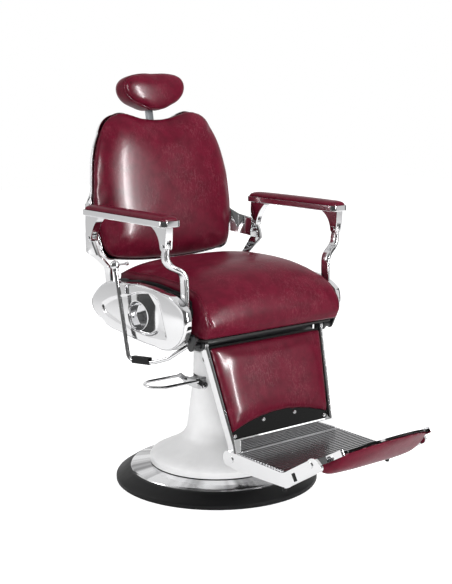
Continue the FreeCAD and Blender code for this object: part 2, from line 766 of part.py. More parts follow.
def back_shell():
    depth = shell_depth
    outer = lofted([back_shape(shell_front, shell_share), back_shape(-34, shell_share),
                           back_shape(-50, shell_share - 0.025), back_shape(-depth - 2, 0.92)])
    drop = shell_wall / 250
    inner = lofted([back_shape(shell_front + 1, shell_share - drop), back_shape(-34, shell_share - drop),
                           back_shape(-48, shell_share - 0.025 - drop), back_shape(-depth + 2, 0.90)])
    slot_front = stem_n + stem_thickness / 2 + 1.5
    slot = back_box(stem_width / 2 + 1.5, guide_top - 12, guide_top + 40, slot_front, stem_n - stem_thickness / 2 - 1.5)
    screw = back_round(0, clamp_w, -depth + 8, -depth - 8, clamp_screw_radius + 0.5)
    bores = [in_shell_bolt(side, w, shell_bolt_radius) for side in (-1, 1) for w in shell_bolt_rows]
    bosses = [back_round(side * 130, w, -cushion_rear - soft_gap, -depth + 1, 12)
              for side in (-1, 1) for w in (120, 370)]
    return fused(outer.cut(inner), *bosses).cut([slot, screw] + bores)


def back_box(half, w_from, w_to, n_from, n_to):
    """Box in the back's own directions, centred on the middle plane."""
    face = outline(lambda w, n: in_back(-half, w, n), (w_from, n_from), (w_to, n_from), (w_to, n_to), (w_from, n_to))
    return Part.Face(face).extrude(Vector(2 * half, 0, 0))


def back_round(u, w, n_from, n_to, radius):
    """Cylinder square to the back, from depth n_from to depth n_to."""
    start = in_back(u, w, n_from)
    along = in_back(u, w, n_to) - start
    return Part.makeCylinder(radius, along.Length, start, along)


def back_bracket_pad():
    """Curved pad of the bracket that lies on the shell's flank."""
    front, rear = shell_front - 4, -34
    band = shell_block(bracket_reach_out, front, rear).cut(shell_block(bracket_reach_in, front + 1, rear - 1))
    corner = outline(lambda w, n: in_back(-300, w, n), (60, rear - 1), (60, front - 6), ((64, front + 1), (80, front + 1)),
                     (176, front + 1), ((192, front - 6), (196, rear + 8)), (196, rear - 1))
    return band.common(Part.Face(corner).extrude(Vector(150, 0, 0)))


def in_shell_bolt(side, w, radius, x=252.0):
    """Bore along X, from x outwards, through the shell's flank and the bracket's pad."""
    centre = in_back(0, w, shell_bolt_n)
    return Part.makeCylinder(radius, 30, Vector(side * x, centre.y, centre.z), Vector(side, 0, 0))


def shell_bolt_head_x(w):
    """Seat of the bolt head on the bracket's pad."""
    return 277.0 if w > 130 else 273.5


def shell_bolts():
    bolts = []
    for side in (-1, 1):
        for w in shell_bolt_rows:
            centre = in_back(0, w, shell_bolt_n)
            head_x = shell_bolt_head_x(w)
            shank = Part.makeCylinder(shell_bolt_radius, head_x - 250, Vector(side * 250, centre.y, centre.z),
                                      Vector(side, 0, 0))
            head = Part.makeSphere(8, Vector(side * (head_x - 5), centre.y, centre.z))
            keep = Part.makeCylinder(9, 10, Vector(side * head_x, centre.y, centre.z), Vector(side, 0, 0))
            nut = bolt_head(side * 250, centre.y, centre.z, 12, 5, -side)
            bolts.append(fused(shank, head.common(keep), nut))
    return Part.makeCompound(bolts)


def headrest_guide():
    half = stem_width / 2 + running_gap
    front = stem_n + stem_thickness / 2 + running_gap
    rear = stem_n - stem_thickness / 2 - running_gap
    sleeve = back_box(half + guide_wall, guide_foot, guide_top, front + guide_wall, rear - guide_wall)
    boss = back_box(14, clamp_w - 16, clamp_w + 16, rear, -shell_depth + 2)
    bore = back_round(0, clamp_w, front - 1, -shell_depth, clamp_screw_radius + running_gap)
    return fused(sleeve, boss).cut([back_box(half, guide_foot - 5, guide_top + 5, front, rear), bore])


def clamp_knob():
    tip = stem_n - stem_thickness / 2 - 0.3
    rear = -shell_depth - 2.5
    screw = back_round(0, clamp_w, tip, rear - 4, clamp_screw_radius)
    collar = back_round(0, clamp_w, rear, rear - 5, 8)
    head = back_round(0, clamp_w, rear - 5, rear - 20, 16)
    flutes = [back_round(18.5 * math.cos(math.radians(60 * turn)), clamp_w + 18.5 * math.sin(math.radians(60 * turn)),
                         rear - 4, rear - 21, 5) for turn in range(6)]
    return fused(screw, collar, head.cut(flutes))


# Headrest
def headrest_stem():
    n_front = stem_n + stem_thickness / 2
    half = stem_width / 2
    bar = Part.Face(outline(lambda u, w: in_back(u, w, n_front), (-half, stem_foot), (half, stem_foot),
                            (half, head_pin_w), (-half, head_pin_w)))
    back = in_back(0, 0, -stem_thickness) - in_back(0, 0, 0)
    centre = in_back(0, head_pin_w, stem_n)
    knuckle = round_x(-half, half, centre.y, centre.z, head_pin_radius + 4)
    return fused(bar.extrude(back), knuckle).cut(head_pin(head_pin_radius + running_gap))


def head_pin(radius):
    centre = in_back(0, head_pin_w, stem_n)
    return round_x(-head_channel_half + 0.2, head_channel_half - 0.2, centre.y, centre.z, radius)


def headrest_hinge_pin():
    return head_pin(head_pin_radius)


def headrest_plate():
    """Channel round the top of the stem: two cheeks and a front web."""
    front = 6.0
    rear = stem_n - 14
    half = head_channel_half
    low, high = head_pin_w - 28, head_pin_w + 30
    block = back_box(half, low, high, front, rear)
    inside = back_box(half - head_channel_wall, low - 5, high + 5, front - head_channel_wall, rear - 5)
    return block.cut([inside, head_pin(head_pin_radius + running_gap)])


# Upper right quarter and lower right quarter of the headrest, as shares of its half width and half height
head_quarters = [((0.45, 1.0), (0.68, 0.93)), ((0.97, 0.62), (1.0, 0.12)), ((0.93, -0.36), (0.62, -0.7)),
                 ((0.33, -0.97), (0.0, -1.0))]


def head_shape(n, share):
    def place(a, b):
        return in_back(a * head_half_width * share, head_w + b * head_half_height * share, head_n + n)
    right = head_quarters
    points = [(0.0, 1.0)] + [to for via, to in right]
    left = []
    for index in range(len(right) - 1, -1, -1):
        via = right[index][0]
        left.append(((-via[0], via[1]), (-points[index][0], points[index][1])))
    return outline(place, (0.0, 1.0), *right, *left[:-1], (left[-1][0], (0.0, 1.0)))


def headrest_cushion():
    slices = [head_shape(-54, 0.78), head_shape(-42, 0.92), head_shape(0, 1.0), head_shape(28, 0.96),
              head_shape(43, 0.82), head_shape(51, 0.5)]
    body = lofted([sampled(wire, 40) for wire in slices])
    half = head_channel_half + soft_gap
    slot = back_box(half, head_w - head_half_height - 20, head_pin_w + 32, 6 + soft_gap, -90)
    return body.cut(slot)


# Arms
def arm_plan(z, inset, corner):
    """Level outline of the arm, drawn in by inset, with rounded corners."""
    x0 = arm_x - arm_width / 2 + inset
    x1 = arm_x + arm_width / 2 - inset
    y0 = arm_front + inset
    y1 = arm_rear - inset
    cut = corner * (1 - math.sqrt(0.5))

    def place(x, y):
        return Vector(x, y, z)
    return outline(place, (x0 + corner, y0), (x1 - corner, y0), ((x1 - cut, y0 + cut), (x1, y0 + corner)),
                   (x1, y1 - corner), ((x1 - cut, y1 - cut), (x1 - corner, y1)), (x0 + corner, y1),
                   ((x0 + cut, y1 - cut), (x0, y1 - corner)), (x0, y0 + corner),
                   ((x0 + cut, y0 + cut), (x0 + corner, y0)))


def arm_fork(pin_y, pin_z, toe, heel):
    """Fork under the tray: toe is the side that sweeps along the arm, heel the steep side."""
    top = arm_bottom + 1
    way = 1 if toe > 0 else -1
    r = eye_radius

    def cheek(x_from, x_to):
        return slab(x_from, x_to, (pin_y + toe, top), (pin_y - heel, top), ((pin_y - way * (r + 3), top - 20),
                    (pin_y - way * r, pin_z)), ((pin_y, pin_z - r), (pin_y + way * r, pin_z)),
                    ((pin_y + way * (r + 12), pin_z + 30), (pin_y + toe, top)))
    half_gap = fork_gap / 2
    half = half_gap + fork_cheek
    whole = cheek(arm_pin_x - half, arm_pin_x + half)
    clear = eye_radius + 2.5
    roof = pin_z + clear + 4
    mouth = box(arm_pin_x - half_gap, arm_pin_x + half_gap, pin_y - 120, pin_y + 120, pin_z - 40, roof)
    hole = round_x(arm_pin_x - 20, arm_pin_x + 20, pin_y, pin_z, arm_pin_radius + running_gap)
    return whole.cut([mouth, hole])


def arm_pin_places():
    return [(post_pivot_y + arm_rise_y, post_pivot_z + arm_rise_z), (back_pivot_y + arm_rise_y, back_pivot_z + arm_rise_z)]


def arm_tray():
    body = Part.Face(arm_plan(arm_bottom, 0, 16)).extrude(Vector(0, 0, arm_tray_height))
    low = [edge for edge in body.Edges if edge.BoundBox.ZMax < arm_bottom + 0.1]
    body = body.makeFillet(3, low)
    pocket = Part.Face(arm_plan(arm_bottom + arm_tray_height - arm_pocket, arm_tray_wall, 13))
    front, rear = arm_pin_places()
    forks = [arm_fork(front[0], front[1], 92, 17), arm_fork(rear[0], rear[1], -68, -14)]
    return fused(body, *forks).cut(pocket.extrude(Vector(0, 0, arm_pocket + 5)))


def arm_pad():
    base = arm_bottom + arm_tray_height - arm_pocket + soft_gap
    edge = arm_tray_wall + soft_gap
    top = base + arm_pad_height
    return lofted([arm_plan(base, edge + 0.5, 12.5), arm_plan(base + 5, edge, 13),
                          arm_plan(base + 10, edge + 1.5, 12), arm_plan(top - 3.5, edge + 6, 12),
                          arm_plan(top, edge + 15, 10)])


def arm_pins():
    pins = []
    half = fork_gap / 2 + fork_cheek
    for y, z in arm_pin_places():
        pin = fused(round_x(arm_pin_x - half, arm_pin_x + half, y, z, arm_pin_radius),
                    round_x(arm_pin_x - half - 3, arm_pin_x - half, y, z, arm_pin_radius + 2.5),
                    round_x(arm_pin_x + half, arm_pin_x + half + 3, y, z, arm_pin_radius + 2.5))
        pins.append(pin)
        pins.append(mirrored(pin))
    return Part.makeCompound(pins)


# Leg rest: d down along the bars, f forward out of the pad, from the hinge
def in_leg(x, d, f):
    lean = math.radians(leg_lean)
    return Vector(x, leg_pivot_y - d * math.sin(lean) - f * math.cos(lean),
                  leg_pivot_z - d * math.cos(lean) + f * math.sin(lean))


def leg_foot():
    """Distance down the bar, and forward of it, of the bolt that carries the footrest."""
    lean = math.radians(leg_lean)
    dy = foot_bolt_y - leg_pivot_y
    dz = foot_bolt_z - leg_pivot_z
    return -dy * math.sin(lean) - dz * math.cos(lean), -dy * math.cos(lean) + dz * math.sin(lean)


def bar_foot_x():
    """Middle of the bar's thickness at its foot, against the rail's inner face."""
    return rail_outer_x + rail_thickness + bar_foot_thickness / 2


def leg_bar():
    foot_d, foot_f = leg_foot()
    top_half = bar_top_thickness / 2
    foot_half = bar_foot_thickness / 2
    bend_d = foot_d - bar_straight_foot
    slices = []
    for d, x, half, rear, front in ((0, bar_top_x, top_half, bar_rear, bar_front),
                                    (bend_d, bar_foot_x(), foot_half, foot_f - 13, foot_f + 13),
                                    (foot_d, bar_foot_x(), foot_half, foot_f - 13, foot_f + 13)):
        slices.append(outline(lambda u, f, d=d: in_leg(u, d, f), (x - half, rear), (x + half, rear),
                              (x + half, front - 3), (x + half - 3, front), (x - half + 3, front),
                              (x - half, front - 3)))
    eye = round_x(bar_top_x - top_half, bar_top_x + top_half, leg_pivot_y, leg_pivot_z, bar_eye_radius)
    foot = round_x(bar_foot_x() - foot_half, bar_foot_x() + foot_half, foot_bolt_y, foot_bolt_z, 14)
    holes = [round_x(bar_top_x - 20, bar_top_x + 20, leg_pivot_y, leg_pivot_z, hinge_shaft_radius),
             round_x(bar_foot_x() - 20, bar_foot_x() + 20, foot_bolt_y, foot_bolt_z, foot_bolt_radius)]
    tube = in_leg(0, leg_tube_d, leg_tube_f)
    socket = round_x(bar_top_x, bar_top_x + 20, tube.y, tube.z, leg_tube_radius)
    return fused(lofted(slices), eye, foot).cut(holes + [socket])


def leg_tube():
    centre = in_leg(0, leg_tube_d, leg_tube_f)
    return round_x(bar_top_x, -bar_top_x, centre.y, centre.z, leg_tube_radius)


def leg_hinge_shafts():
    outer = post_x + post_thickness / 2
    crank_outer = outer - 5.5
    pin_y, pin_z = leg_pivot_y + crank_y, leg_pivot_z + crank_z
    shaft = round_x(bar_top_x + bar_top_thickness / 2, crank_outer, leg_pivot_y, leg_pivot_z, hinge_shaft_radius)
    side = math.atan2(crank_z, crank_y)
    wide = 13.0
    narrow = link_pin_radius + 4

    def rim(y, z, radius, turn):
        return (y + radius * math.cos(side + turn), z + radius * math.sin(side + turn))
    crank = slab(outer, crank_outer, rim(leg_pivot_y, leg_pivot_z, wide, math.pi / 2),
                 (rim(leg_pivot_y, leg_pivot_z, wide, math.pi), rim(leg_pivot_y, leg_pivot_z, wide, -math.pi / 2)),
                 rim(pin_y, pin_z, narrow, -math.pi / 2), (rim(pin_y, pin_z, narrow, 0), rim(pin_y, pin_z, narrow, math.pi / 2)))
    pin = round_x(outer, link_x + 0.5, pin_y, pin_z, link_pin_radius)
    return pair(fused(shaft, crank, pin))


def recline_links():
    rear_y, rear_z = back_pivot_y + crank_y, back_pivot_z + crank_z
    front_y, front_z = leg_pivot_y + crank_y, leg_pivot_z + crank_z
    length = math.hypot(front_y - rear_y, front_z - rear_z)
    slope = math.atan2(front_z - rear_z, front_y - rear_y)
    half = link_width / 2

    def place(along, across):
        return (rear_y + along * math.cos(slope) - across * math.sin(slope),
                rear_z + along * math.sin(slope) + across * math.cos(slope))
    bar = slab(link_x, link_x - link_thickness, place(0, -half), place(length, -half),
               (place(length + half + 1, 0), place(length, half)), place(0, half), (place(-half - 1, 0), place(0, -half)))
    hole = round_x(link_x + 2, link_x - 10, front_y, front_z, link_pin_radius + open_pivot_gap)
    pin = round_x(link_x, post_x - post_thickness / 2, rear_y, rear_z, link_pin_radius)
    return pair(fused(bar, pin).cut(hole))


def leg_width(d):
    """Half width between the bars at a distance down them."""
    foot_d = leg_foot()[0] - bar_straight_foot
    top = -bar_top_x - bar_top_thickness / 2
    foot = -bar_foot_x() - bar_foot_thickness / 2
    return top + (foot - top) * d / foot_d


def leg_board():
    top = leg_pad_top - 1
    low = leg_board_bottom
    wide, narrow = leg_width(top) - 1, leg_width(low) - 1
    face = Part.Face(outline(lambda x, d: in_leg(x, d, 0), (-wide, top), (wide, top), (narrow, low - 14),
                             ((narrow - 4, low - 4), (narrow - 14, low)), (-narrow + 14, low),
                             ((-narrow + 4, low - 4), (-narrow, low - 14))))
    forward = in_leg(0, 0, leg_board_thickness) - in_leg(0, 0, 0)
    return face.extrude(forward)


def leg_pad_shape(f, inset):
    top = leg_pad_top + inset
    low = leg_pad_bottom - inset
    wide = leg_width(top) - 2 - inset
    narrow = leg_width(low) - 1.5 - inset
    arch = leg_pad_arch
    r = 8.0
    return outline(lambda x, d: in_leg(x, d, f), (-wide + r, top), (wide - r, top),
                   ((wide - 2.5, top + 2.5), (wide, top + r)), (narrow, low - r),
                   ((narrow - 3, low - 2), (narrow - r - 4, low - 4)), ((0, low - arch), (-narrow + r + 4, low - 4)),
                   ((-narrow + 3, low - 2), (-narrow, low - r)), (-wide, top + r),
                   ((-wide + 2.5, top + 2.5), (-wide + r, top)))


def leg_pad():
    base = leg_board_thickness + soft_gap
    t = leg_pad_thickness
    return lofted([leg_pad_shape(base, 2), leg_pad_shape(base + 0.35 * t, 0), leg_pad_shape(base + 0.65 * t, 4),
                          leg_pad_shape(base + 0.88 * t, 18), leg_pad_shape(base + t, 48)])


def board_buttons():
    buttons = []
    for x, d in ((61, 244), (176, 274)):
        for side in (-1, 1):
            start = in_leg(side * x, d, leg_board_thickness)
            along = in_leg(0, 0, 1) - in_leg(0, 0, 0)
            button = Part.makeCone(button_radius, button_radius - 2, 3, start, along)
            buttons.append(button)
    return Part.makeCompound(buttons)


# Footrest
def footrest_frame():
    inner_x = rail_outer_x + rail_thickness
    rail = slab(rail_outer_x, inner_x, (plate_rear, plate_top - 1), (-538, plate_top - 4),
                ((-552, plate_top - 1), (-566, plate_top + 7)), (-646, flip_z + 9), ((-672, flip_z + 21), (-690, flip_z + 12)),
                ((-699, flip_z + 2), (-692, flip_z - 10)), (-574, 164), ((-562, 157), (-546, 157)), (-400, 152),
                ((-350, 151), (foot_bolt_y + 8, foot_bolt_z - 21)), ((foot_bolt_y + 32, foot_bolt_z - 14),
                                                                   (foot_bolt_y + 36, foot_bolt_z)),
                ((foot_bolt_y + 30, foot_bolt_z + 17), (foot_bolt_y + 10, foot_bolt_z + 22)))
    holes = [round_x(rail_outer_x - 5, inner_x + 5, foot_bolt_y, foot_bolt_z, foot_bolt_radius),
             round_x(rail_outer_x - 5, inner_x + 5, flip_y, flip_z, flip_pin_radius)]
    rail = rail.cut(holes)
    under = plate_top - plate_depth - cross_tube_radius
    tubes = [round_x(inner_x - 1, -inner_x + 1, y, under, cross_tube_radius)
             for y in (plate_rear - 25, plate_front + 22)]
    return fused(rail, mirrored(rail), *tubes)


def footrest_plate():
    half = -rail_outer_x - rail_thickness
    pitch = (plate_rear - plate_front - 16) / rib_count
    top = plate_top
    low = plate_top - plate_depth
    points = [(plate_front, low), (plate_front, top - 3), (plate_front + 3, top)]
    for number in range(rib_count):
        y = plate_front + 8 + number * pitch
        points += [(y, top), (y + 1.2, top - groove_depth), (y + 0.45 * pitch, top - groove_depth),
                   (y + 0.45 * pitch + 1.2, top)]
    points += [(plate_rear - 4, top), (plate_rear - 4, plate_lip), (plate_rear, plate_lip), (plate_rear, low)]
    plate = slab(-half, half, *points)
    lip_ends = [box(side * 200 - 14, side * 200 + 14, plate_rear - 12, plate_rear + 5, top + 0.5, plate_lip + 5)
                for side in (-1, 1)]
    return plate.cut(lip_ends)


def footrest_bolts():
    bolts = []
    for side in (-1, 1):
        outer = side * rail_outer_x
        rail_in = side * (rail_outer_x + rail_thickness)
        bar_in = side * (rail_outer_x + rail_thickness + bar_foot_thickness)
        way = -1 if outer < 0 else 1
        foot = fused(round_x(outer, bar_in, foot_bolt_y, foot_bolt_z, foot_bolt_radius),
                     round_x(outer, outer + way * 3, foot_bolt_y, foot_bolt_z, 9.5),
                     bolt_head(bar_in, foot_bolt_y, foot_bolt_z, 17, 5, -way))
        knuckle_in = rail_in - way * flip_knuckle
        flip = fused(round_x(outer, knuckle_in - way * 0.5, flip_y, flip_z, flip_pin_radius),
                     round_x(outer, outer + way * 3, flip_y, flip_z, 9),
                     round_x(knuckle_in - way * 0.5, knuckle_in - way * 3, flip_y, flip_z, flip_pin_radius + 2))
        bolts += [foot, flip]
    return Part.makeCompound(bolts)


def footrest_stops():
    inner_x = rail_outer_x + rail_thickness
    middle = (rail_outer_x + inner_x) / 2
    stub = Part.makeCylinder(6, 10, Vector(middle, -552, 147))
    patch = slab(rail_outer_x, rail_outer_x - 2, (-585, plate_top + 5), (-594, plate_top + 10), (-606, plate_top - 10),
                 (-597, plate_top - 15))
    return pair(Part.makeCompound([stub.cut(footrest_frame()), patch]))


# Flip pad: u away from the pin up the slope, v square to the board
def in_flip(x, u, v):
    slope = math.radians(flip_slope)
    return Vector(x, flip_y - u * math.cos(slope) + v * math.sin(slope),
                  flip_z + u * math.sin(slope) + v * math.cos(slope))


def flip_arms():
    outer = rail_outer_x + rail_thickness + 0.5
    inner = outer + flip_knuckle - 0.5
    edge = -flip_half_width - 0.3
    deep = 9.0
    end = flip_arm_end
    plan = Part.Face(outline(lambda x, u: in_flip(x, u, -deep), (outer, 0), (outer, 14), (edge - 8, 34), (edge - 8, end - 5),
                             ((edge - 4.6, end), (edge, end)), (edge, 22), (inner, 8), (inner, 0)))
    square = in_flip(0, 0, 2 * deep) - in_flip(0, 0, 0)
    knuckle = round_x(outer, inner, flip_y, flip_z, 12)
    hole = round_x(outer - 3, inner + 3, flip_y, flip_z, flip_pin_radius + running_gap)
    arm = fused(plan.extrude(square), knuckle).cut(hole)
    return pair(arm)


def flip_outline(v, inset, tip, side):
    half = flip_half_width - inset
    rear = flip_rear + inset
    return outline(lambda x, u: in_flip(x, u, v), (-half + 6, rear), (half - 6, rear),
                   ((half - 2, rear + 2), (half, rear + 6)), (half, side - 8), ((half - 4, side + 2), (half - 16, side + 8)),
                   ((0, tip), (-half + 16, side + 8)), ((-half + 4, side + 2), (-half, side - 8)),
                   (-half, rear + 6), ((-half + 2, rear + 2), (-half + 6, rear)))


def flip_board():
    half = flip_board_thickness / 2
    square = in_flip(0, 0, flip_board_thickness) - in_flip(0, 0, 0)
    return Part.Face(flip_outline(-half, 0, flip_tip, flip_side)).extrude(square)


def flip_cushion():
    base = -flip_board_thickness / 2 - soft_gap
    t = flip_pad_thickness
    reach = flip_tip - flip_side
    return lofted([flip_outline(base, 2, flip_tip - 3, flip_side - 2),
                          flip_outline(base - 0.3 * t, 0.5, flip_side + 0.7 * reach, flip_side - 12),
                          flip_outline(base - 0.65 * t, 4, flip_side - 8, 55),
                          flip_outline(base - 0.9 * t, 14, flip_side - 38, 34),
                          flip_outline(base - t, 27, flip_side - 58, 20)])


# Node list: name and shape
def build():
    nodes = {
        "floor_plate": floor_plate(),
        "base_rubber_ring": base_rubber_ring(),
        "base_dome_ring": base_dome_ring(),
        "cover_gasket": cover_gasket(),
        "column_cover": column_cover(),
        "hydraulic_cylinder": hydraulic_cylinder(),
        "cylinder_gland": cylinder_gland(),
        "base_bolts": base_bolts(),
        "pump_block": pump_block(),
        "pump_plunger": pump_plunger(),
        "pump_lever": pump_lever(),
        "pump_shaft": pump_shaft(),
        "piston_ram": piston_ram(),
        "swivel_hub": swivel_hub(),
        "seat_frame": seat_frame(),
        "seat_board": seat_board(),
        "seat_cushion": seat_cushion(),
        "side_bolts": side_bolts(),
        "lever_stud": lever_stud(),
        "recline_lever": recline_lever(),
        "recline_knob": recline_knob(),
        "recline_pedal": recline_pedal(),
        "back_cushion": back_cushion(),
        "back_shell": back_shell(),
        "shell_bolts": shell_bolts(),
        "headrest_guide": headrest_guide(),
        "clamp_knob": clamp_knob(),
        "headrest_stem": headrest_stem(),
        "headrest_hinge_pin": headrest_hinge_pin(),
        "headrest_plate": headrest_plate(),
        "headrest_cushion": headrest_cushion(),
        "arm_pins": arm_pins(),
        "leg_hinge_shafts": leg_hinge_shafts(),
        "leg_tube": leg_tube(),
        "leg_board": leg_board(),
        "leg_pad": leg_pad(),
        "board_buttons": board_buttons(),
        "recline_links": recline_links(),
        "footrest_frame": footrest_frame(),
        "footrest_plate": footrest_plate(),
        "footrest_bolts": footrest_bolts(),
        "footrest_stops": footrest_stops(),
        "flip_arms": flip_arms(),
        "flip_board": flip_board(),
        "flip_cushion": flip_cushion(),
    }
    for name, shape in (("side_frame", side_frame()), ("side_panel", side_panel()),
                        ("front_post", front_post()), ("back_bracket", back_bracket()),
                        ("arm_tray", arm_tray()), ("arm_pad", arm_pad()), ("leg_bar", leg_bar())):
        nodes[name + "_right"] = shape
        nodes[name + "_left"] = mirrored(shape)
    return nodes


os.makedirs("parts", exist_ok=True)
for name, shape in build().items():
    shape.exportStep("parts/" + name + ".step")
    print(name, "solids", len(shape.Solids), "valid", shape.isValid(), "litres", round(shape.Volume / 1e6, 4))
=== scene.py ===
import json
import math

import bmesh
import bpy
import numpy as np
from mathutils import Euler, Matrix, Vector
from mathutils.bvhtree import BVHTree
from mathutils.kdtree import KDTree

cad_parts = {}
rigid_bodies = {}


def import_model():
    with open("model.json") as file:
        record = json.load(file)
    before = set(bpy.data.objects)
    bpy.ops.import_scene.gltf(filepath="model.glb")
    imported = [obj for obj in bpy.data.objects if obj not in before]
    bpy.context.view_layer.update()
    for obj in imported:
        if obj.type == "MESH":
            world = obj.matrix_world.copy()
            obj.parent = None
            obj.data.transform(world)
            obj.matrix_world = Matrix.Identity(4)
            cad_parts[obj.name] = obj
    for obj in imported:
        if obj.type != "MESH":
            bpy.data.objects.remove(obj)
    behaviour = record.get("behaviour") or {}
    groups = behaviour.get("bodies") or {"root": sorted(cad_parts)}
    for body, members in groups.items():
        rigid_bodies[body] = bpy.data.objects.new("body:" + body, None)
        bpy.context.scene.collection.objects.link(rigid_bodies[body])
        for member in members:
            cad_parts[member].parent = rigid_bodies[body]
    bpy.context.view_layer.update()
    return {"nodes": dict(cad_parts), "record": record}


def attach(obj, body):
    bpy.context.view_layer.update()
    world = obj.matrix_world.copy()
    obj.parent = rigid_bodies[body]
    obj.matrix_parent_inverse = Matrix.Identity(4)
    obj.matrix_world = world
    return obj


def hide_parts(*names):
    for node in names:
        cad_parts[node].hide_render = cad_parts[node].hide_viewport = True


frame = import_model()
nodes = frame["nodes"]
record = frame["record"]
scene = bpy.context.scene
bodyOf = {node: body for body, members in record["behaviour"]["bodies"].items() for node in members}
slotOf = {part["node"]: part["material_slot"] for part in record["subparts"]}
done = set()
print("frame loaded:", len(nodes), "nodes")

# camera, floor and light, in metres and degrees
cameraView = {"place": (-2.245, -2.847, 1.256), "pitch": 79.67, "turn": -38.725, "lens": 72.9}
studio = {
    "floorHalf": 9, "floorColour": (0.94, 0.94, 0.94), "floorGlow": 0.6, "worldLight": 0.66,
    "facing": (0.607, 0.776, 0.0),  # the white backdrop stands this way from the chair
    "floorEdge": (-2.7, -1.7), "floorDark": 0.1,  # painted shade in reflections: the floor as the metal sees it darkens towards the camera between these depths
    "backdrop": (-0.5, 0.1), "roomDark": 0.16, "roomPale": 1.0, "cardColour": (0.05, 0.05, 0.05),
    # what the metal sees of the room: height from straight down (-1) to straight up (1), and brightness
    "bands": ((-1.0, 0.9), (0.0, 0.9), (0.12, 0.75), (0.25, 0.35), (0.4, 0.3), (0.5, 0.95), (0.62, 0.35),
              (0.8, 0.25), (1.0, 0.7)),
    # lamps: place, aim, size, power, and what each is for: all, the shine alone, or the light alone
    "lamps": {
        "stripFront": ((0.95, -3.5, 1.5), (0, 0, 0.8), (0.4, 2.3), 60, "all"),
        "glintFront": ((0.92, -3.4, 1.55), (0, 0, 0.8), (0.17, 2.0), 620, "shine"),
        "stripLeft": ((-3.1, -1.3, 1.5), (0, 0, 0.8), (0.6, 2.2), 460, "shine"),
        "stripRear": ((-2.6, 1.9, 1.4), (0, 0.1, 0.8), (0.4, 2.2), 16, "all"),
        "windowRight": ((3.2, -0.6, 1.7), (0, 0, 0.7), (1.3, 1.9), 18, "light"),
        "fillLow": ((-1.9, -2.7, 0.5), (0, 0, 0.2), (1.4, 0.7), 42, "light"),
        "ceiling": ((0.2, -0.2, 3.3), (0, 0, 0.6), (2.4, 2.4), 40, "light")},
    # black cards that only the metal sees: place, width and height, turn about Z
    "flags": {
        "flagLeft": ((-1.5, 0.68, 0.3), (0.62, 0.66), 61),
        "flagLeftEdge": ((-2.4, -0.6, 1.0), (0.22, 2.2), 104),
        "flagRear": ((-0.58, 2.33, 0.9), (0.36, 2.0), 14),
        "flagRight": ((2.16, -0.79, 0.9), (1.15, 2.0), -110),
        "flagBase": ((0.85, 0.75, 0.1), (0.9, 0.2), -42),
        "flagFront": ((-1.35, -3.3, 0.7), (0.7, 1.8), -22)}}


def addNode(tree, kind, sockets=None, **settings):
    node = tree.nodes.new("ShaderNode" + kind)
    for key, value in settings.items():
        setattr(node, key, value)
    for key, value in (sockets or {}).items():
        node.inputs[key].default_value = value
    return node


def sums(tree, operation, *terms):
    node = addNode(tree, "Math", operation=operation)
    for index, term in enumerate(terms):
        if isinstance(term, (int, float)):
            node.inputs[index].default_value = term
        else:
            tree.links.new(term, node.inputs[index])
    return node.outputs[0]


def between(tree, source, edges, interpolation="SMOOTHSTEP", **ends):
    # from 0 at the first edge to 1 at the second, or from Min to Max where they are given
    sockets = {"From Min": edges[0], "From Max": edges[1]}
    sockets.update({"To " + key: value for key, value in ends.items()})
    node = addNode(tree, "MapRange", sockets, interpolation_type=interpolation)
    tree.links.new(source, node.inputs["Value"])
    return node


def colourMix(tree, first, second):
    return addNode(tree, "Mix", {"A": (*first, 1), "B": (*second, 1)}, data_type="RGBA")


def meshObject(name, bm, material):
    mesh = bpy.data.meshes.new(name)
    bm.to_mesh(mesh)
    bm.free()
    piece = bpy.data.objects.new(name, mesh)
    scene.collection.objects.link(piece)
    mesh.materials.append(material)
    return piece


def buildStage():
    eye = bpy.data.cameras.new("viewCamera")
    eye.lens = cameraView["lens"]
    eyeObject = bpy.data.objects.new("viewCamera", eye)
    eyeObject.location = cameraView["place"]
    eyeObject.rotation_euler = Euler((math.radians(cameraView["pitch"]), 0, math.radians(cameraView["turn"])))
    scene.collection.objects.link(eyeObject)
    scene.camera = eyeObject
    scene.view_settings.view_transform = "Standard"
    bm = bmesh.new()
    bmesh.ops.create_grid(bm, x_segments=1, y_segments=1, size=studio["floorHalf"])
    meshObject("floor", bm, floorMaterial())
    hangLamps()
    standCards()
    buildWorld()


def hangLamps():
    # a lamp that is there for the shine alone reaches only what is in this collection
    shiny = bpy.data.collections.new("leatherShine")
    for name, (place, aim, size, power, use) in studio["lamps"].items():
        light = bpy.data.lights.new(name, "AREA")
        light.shape = "RECTANGLE"
        light.size, light.size_y = size
        light.energy = power
        lamp = bpy.data.objects.new(name, light)
        lamp.location = place
        lamp.rotation_euler = (Vector(aim) - Vector(place)).to_track_quat("-Z", "Y").to_euler()
        lamp.visible_diffuse = use != "shine"
        lamp.visible_glossy = use != "light"
        if use == "shine":
            lamp.light_linking.receiver_collection = shiny
        scene.collection.objects.link(lamp)


def standCards():
    black = bpy.data.materials.new("blackCard")
    black.use_nodes = True
    shader = black.node_tree.nodes["Principled BSDF"]
    shader.inputs["Base Color"].default_value = (*studio["cardColour"], 1)
    shader.inputs["Specular IOR Level"].default_value = 0
    for name, (place, size, turn) in studio["flags"].items():
        bm = bmesh.new()
        bmesh.ops.create_grid(bm, x_segments=1, y_segments=1, size=0.5)
        bmesh.ops.scale(bm, vec=(*size, 1), verts=bm.verts)
        for angle, axis in ((90, "X"), (turn, "Z")):
            bmesh.ops.rotate(bm, cent=(0, 0, 0), matrix=Matrix.Rotation(math.radians(angle), 3, axis),
                             verts=bm.verts)
        bmesh.ops.translate(bm, vec=place, verts=bm.verts)
        card = meshObject(name, bm, black)
        card.visible_camera = False
        card.visible_diffuse = False
        card.visible_shadow = False


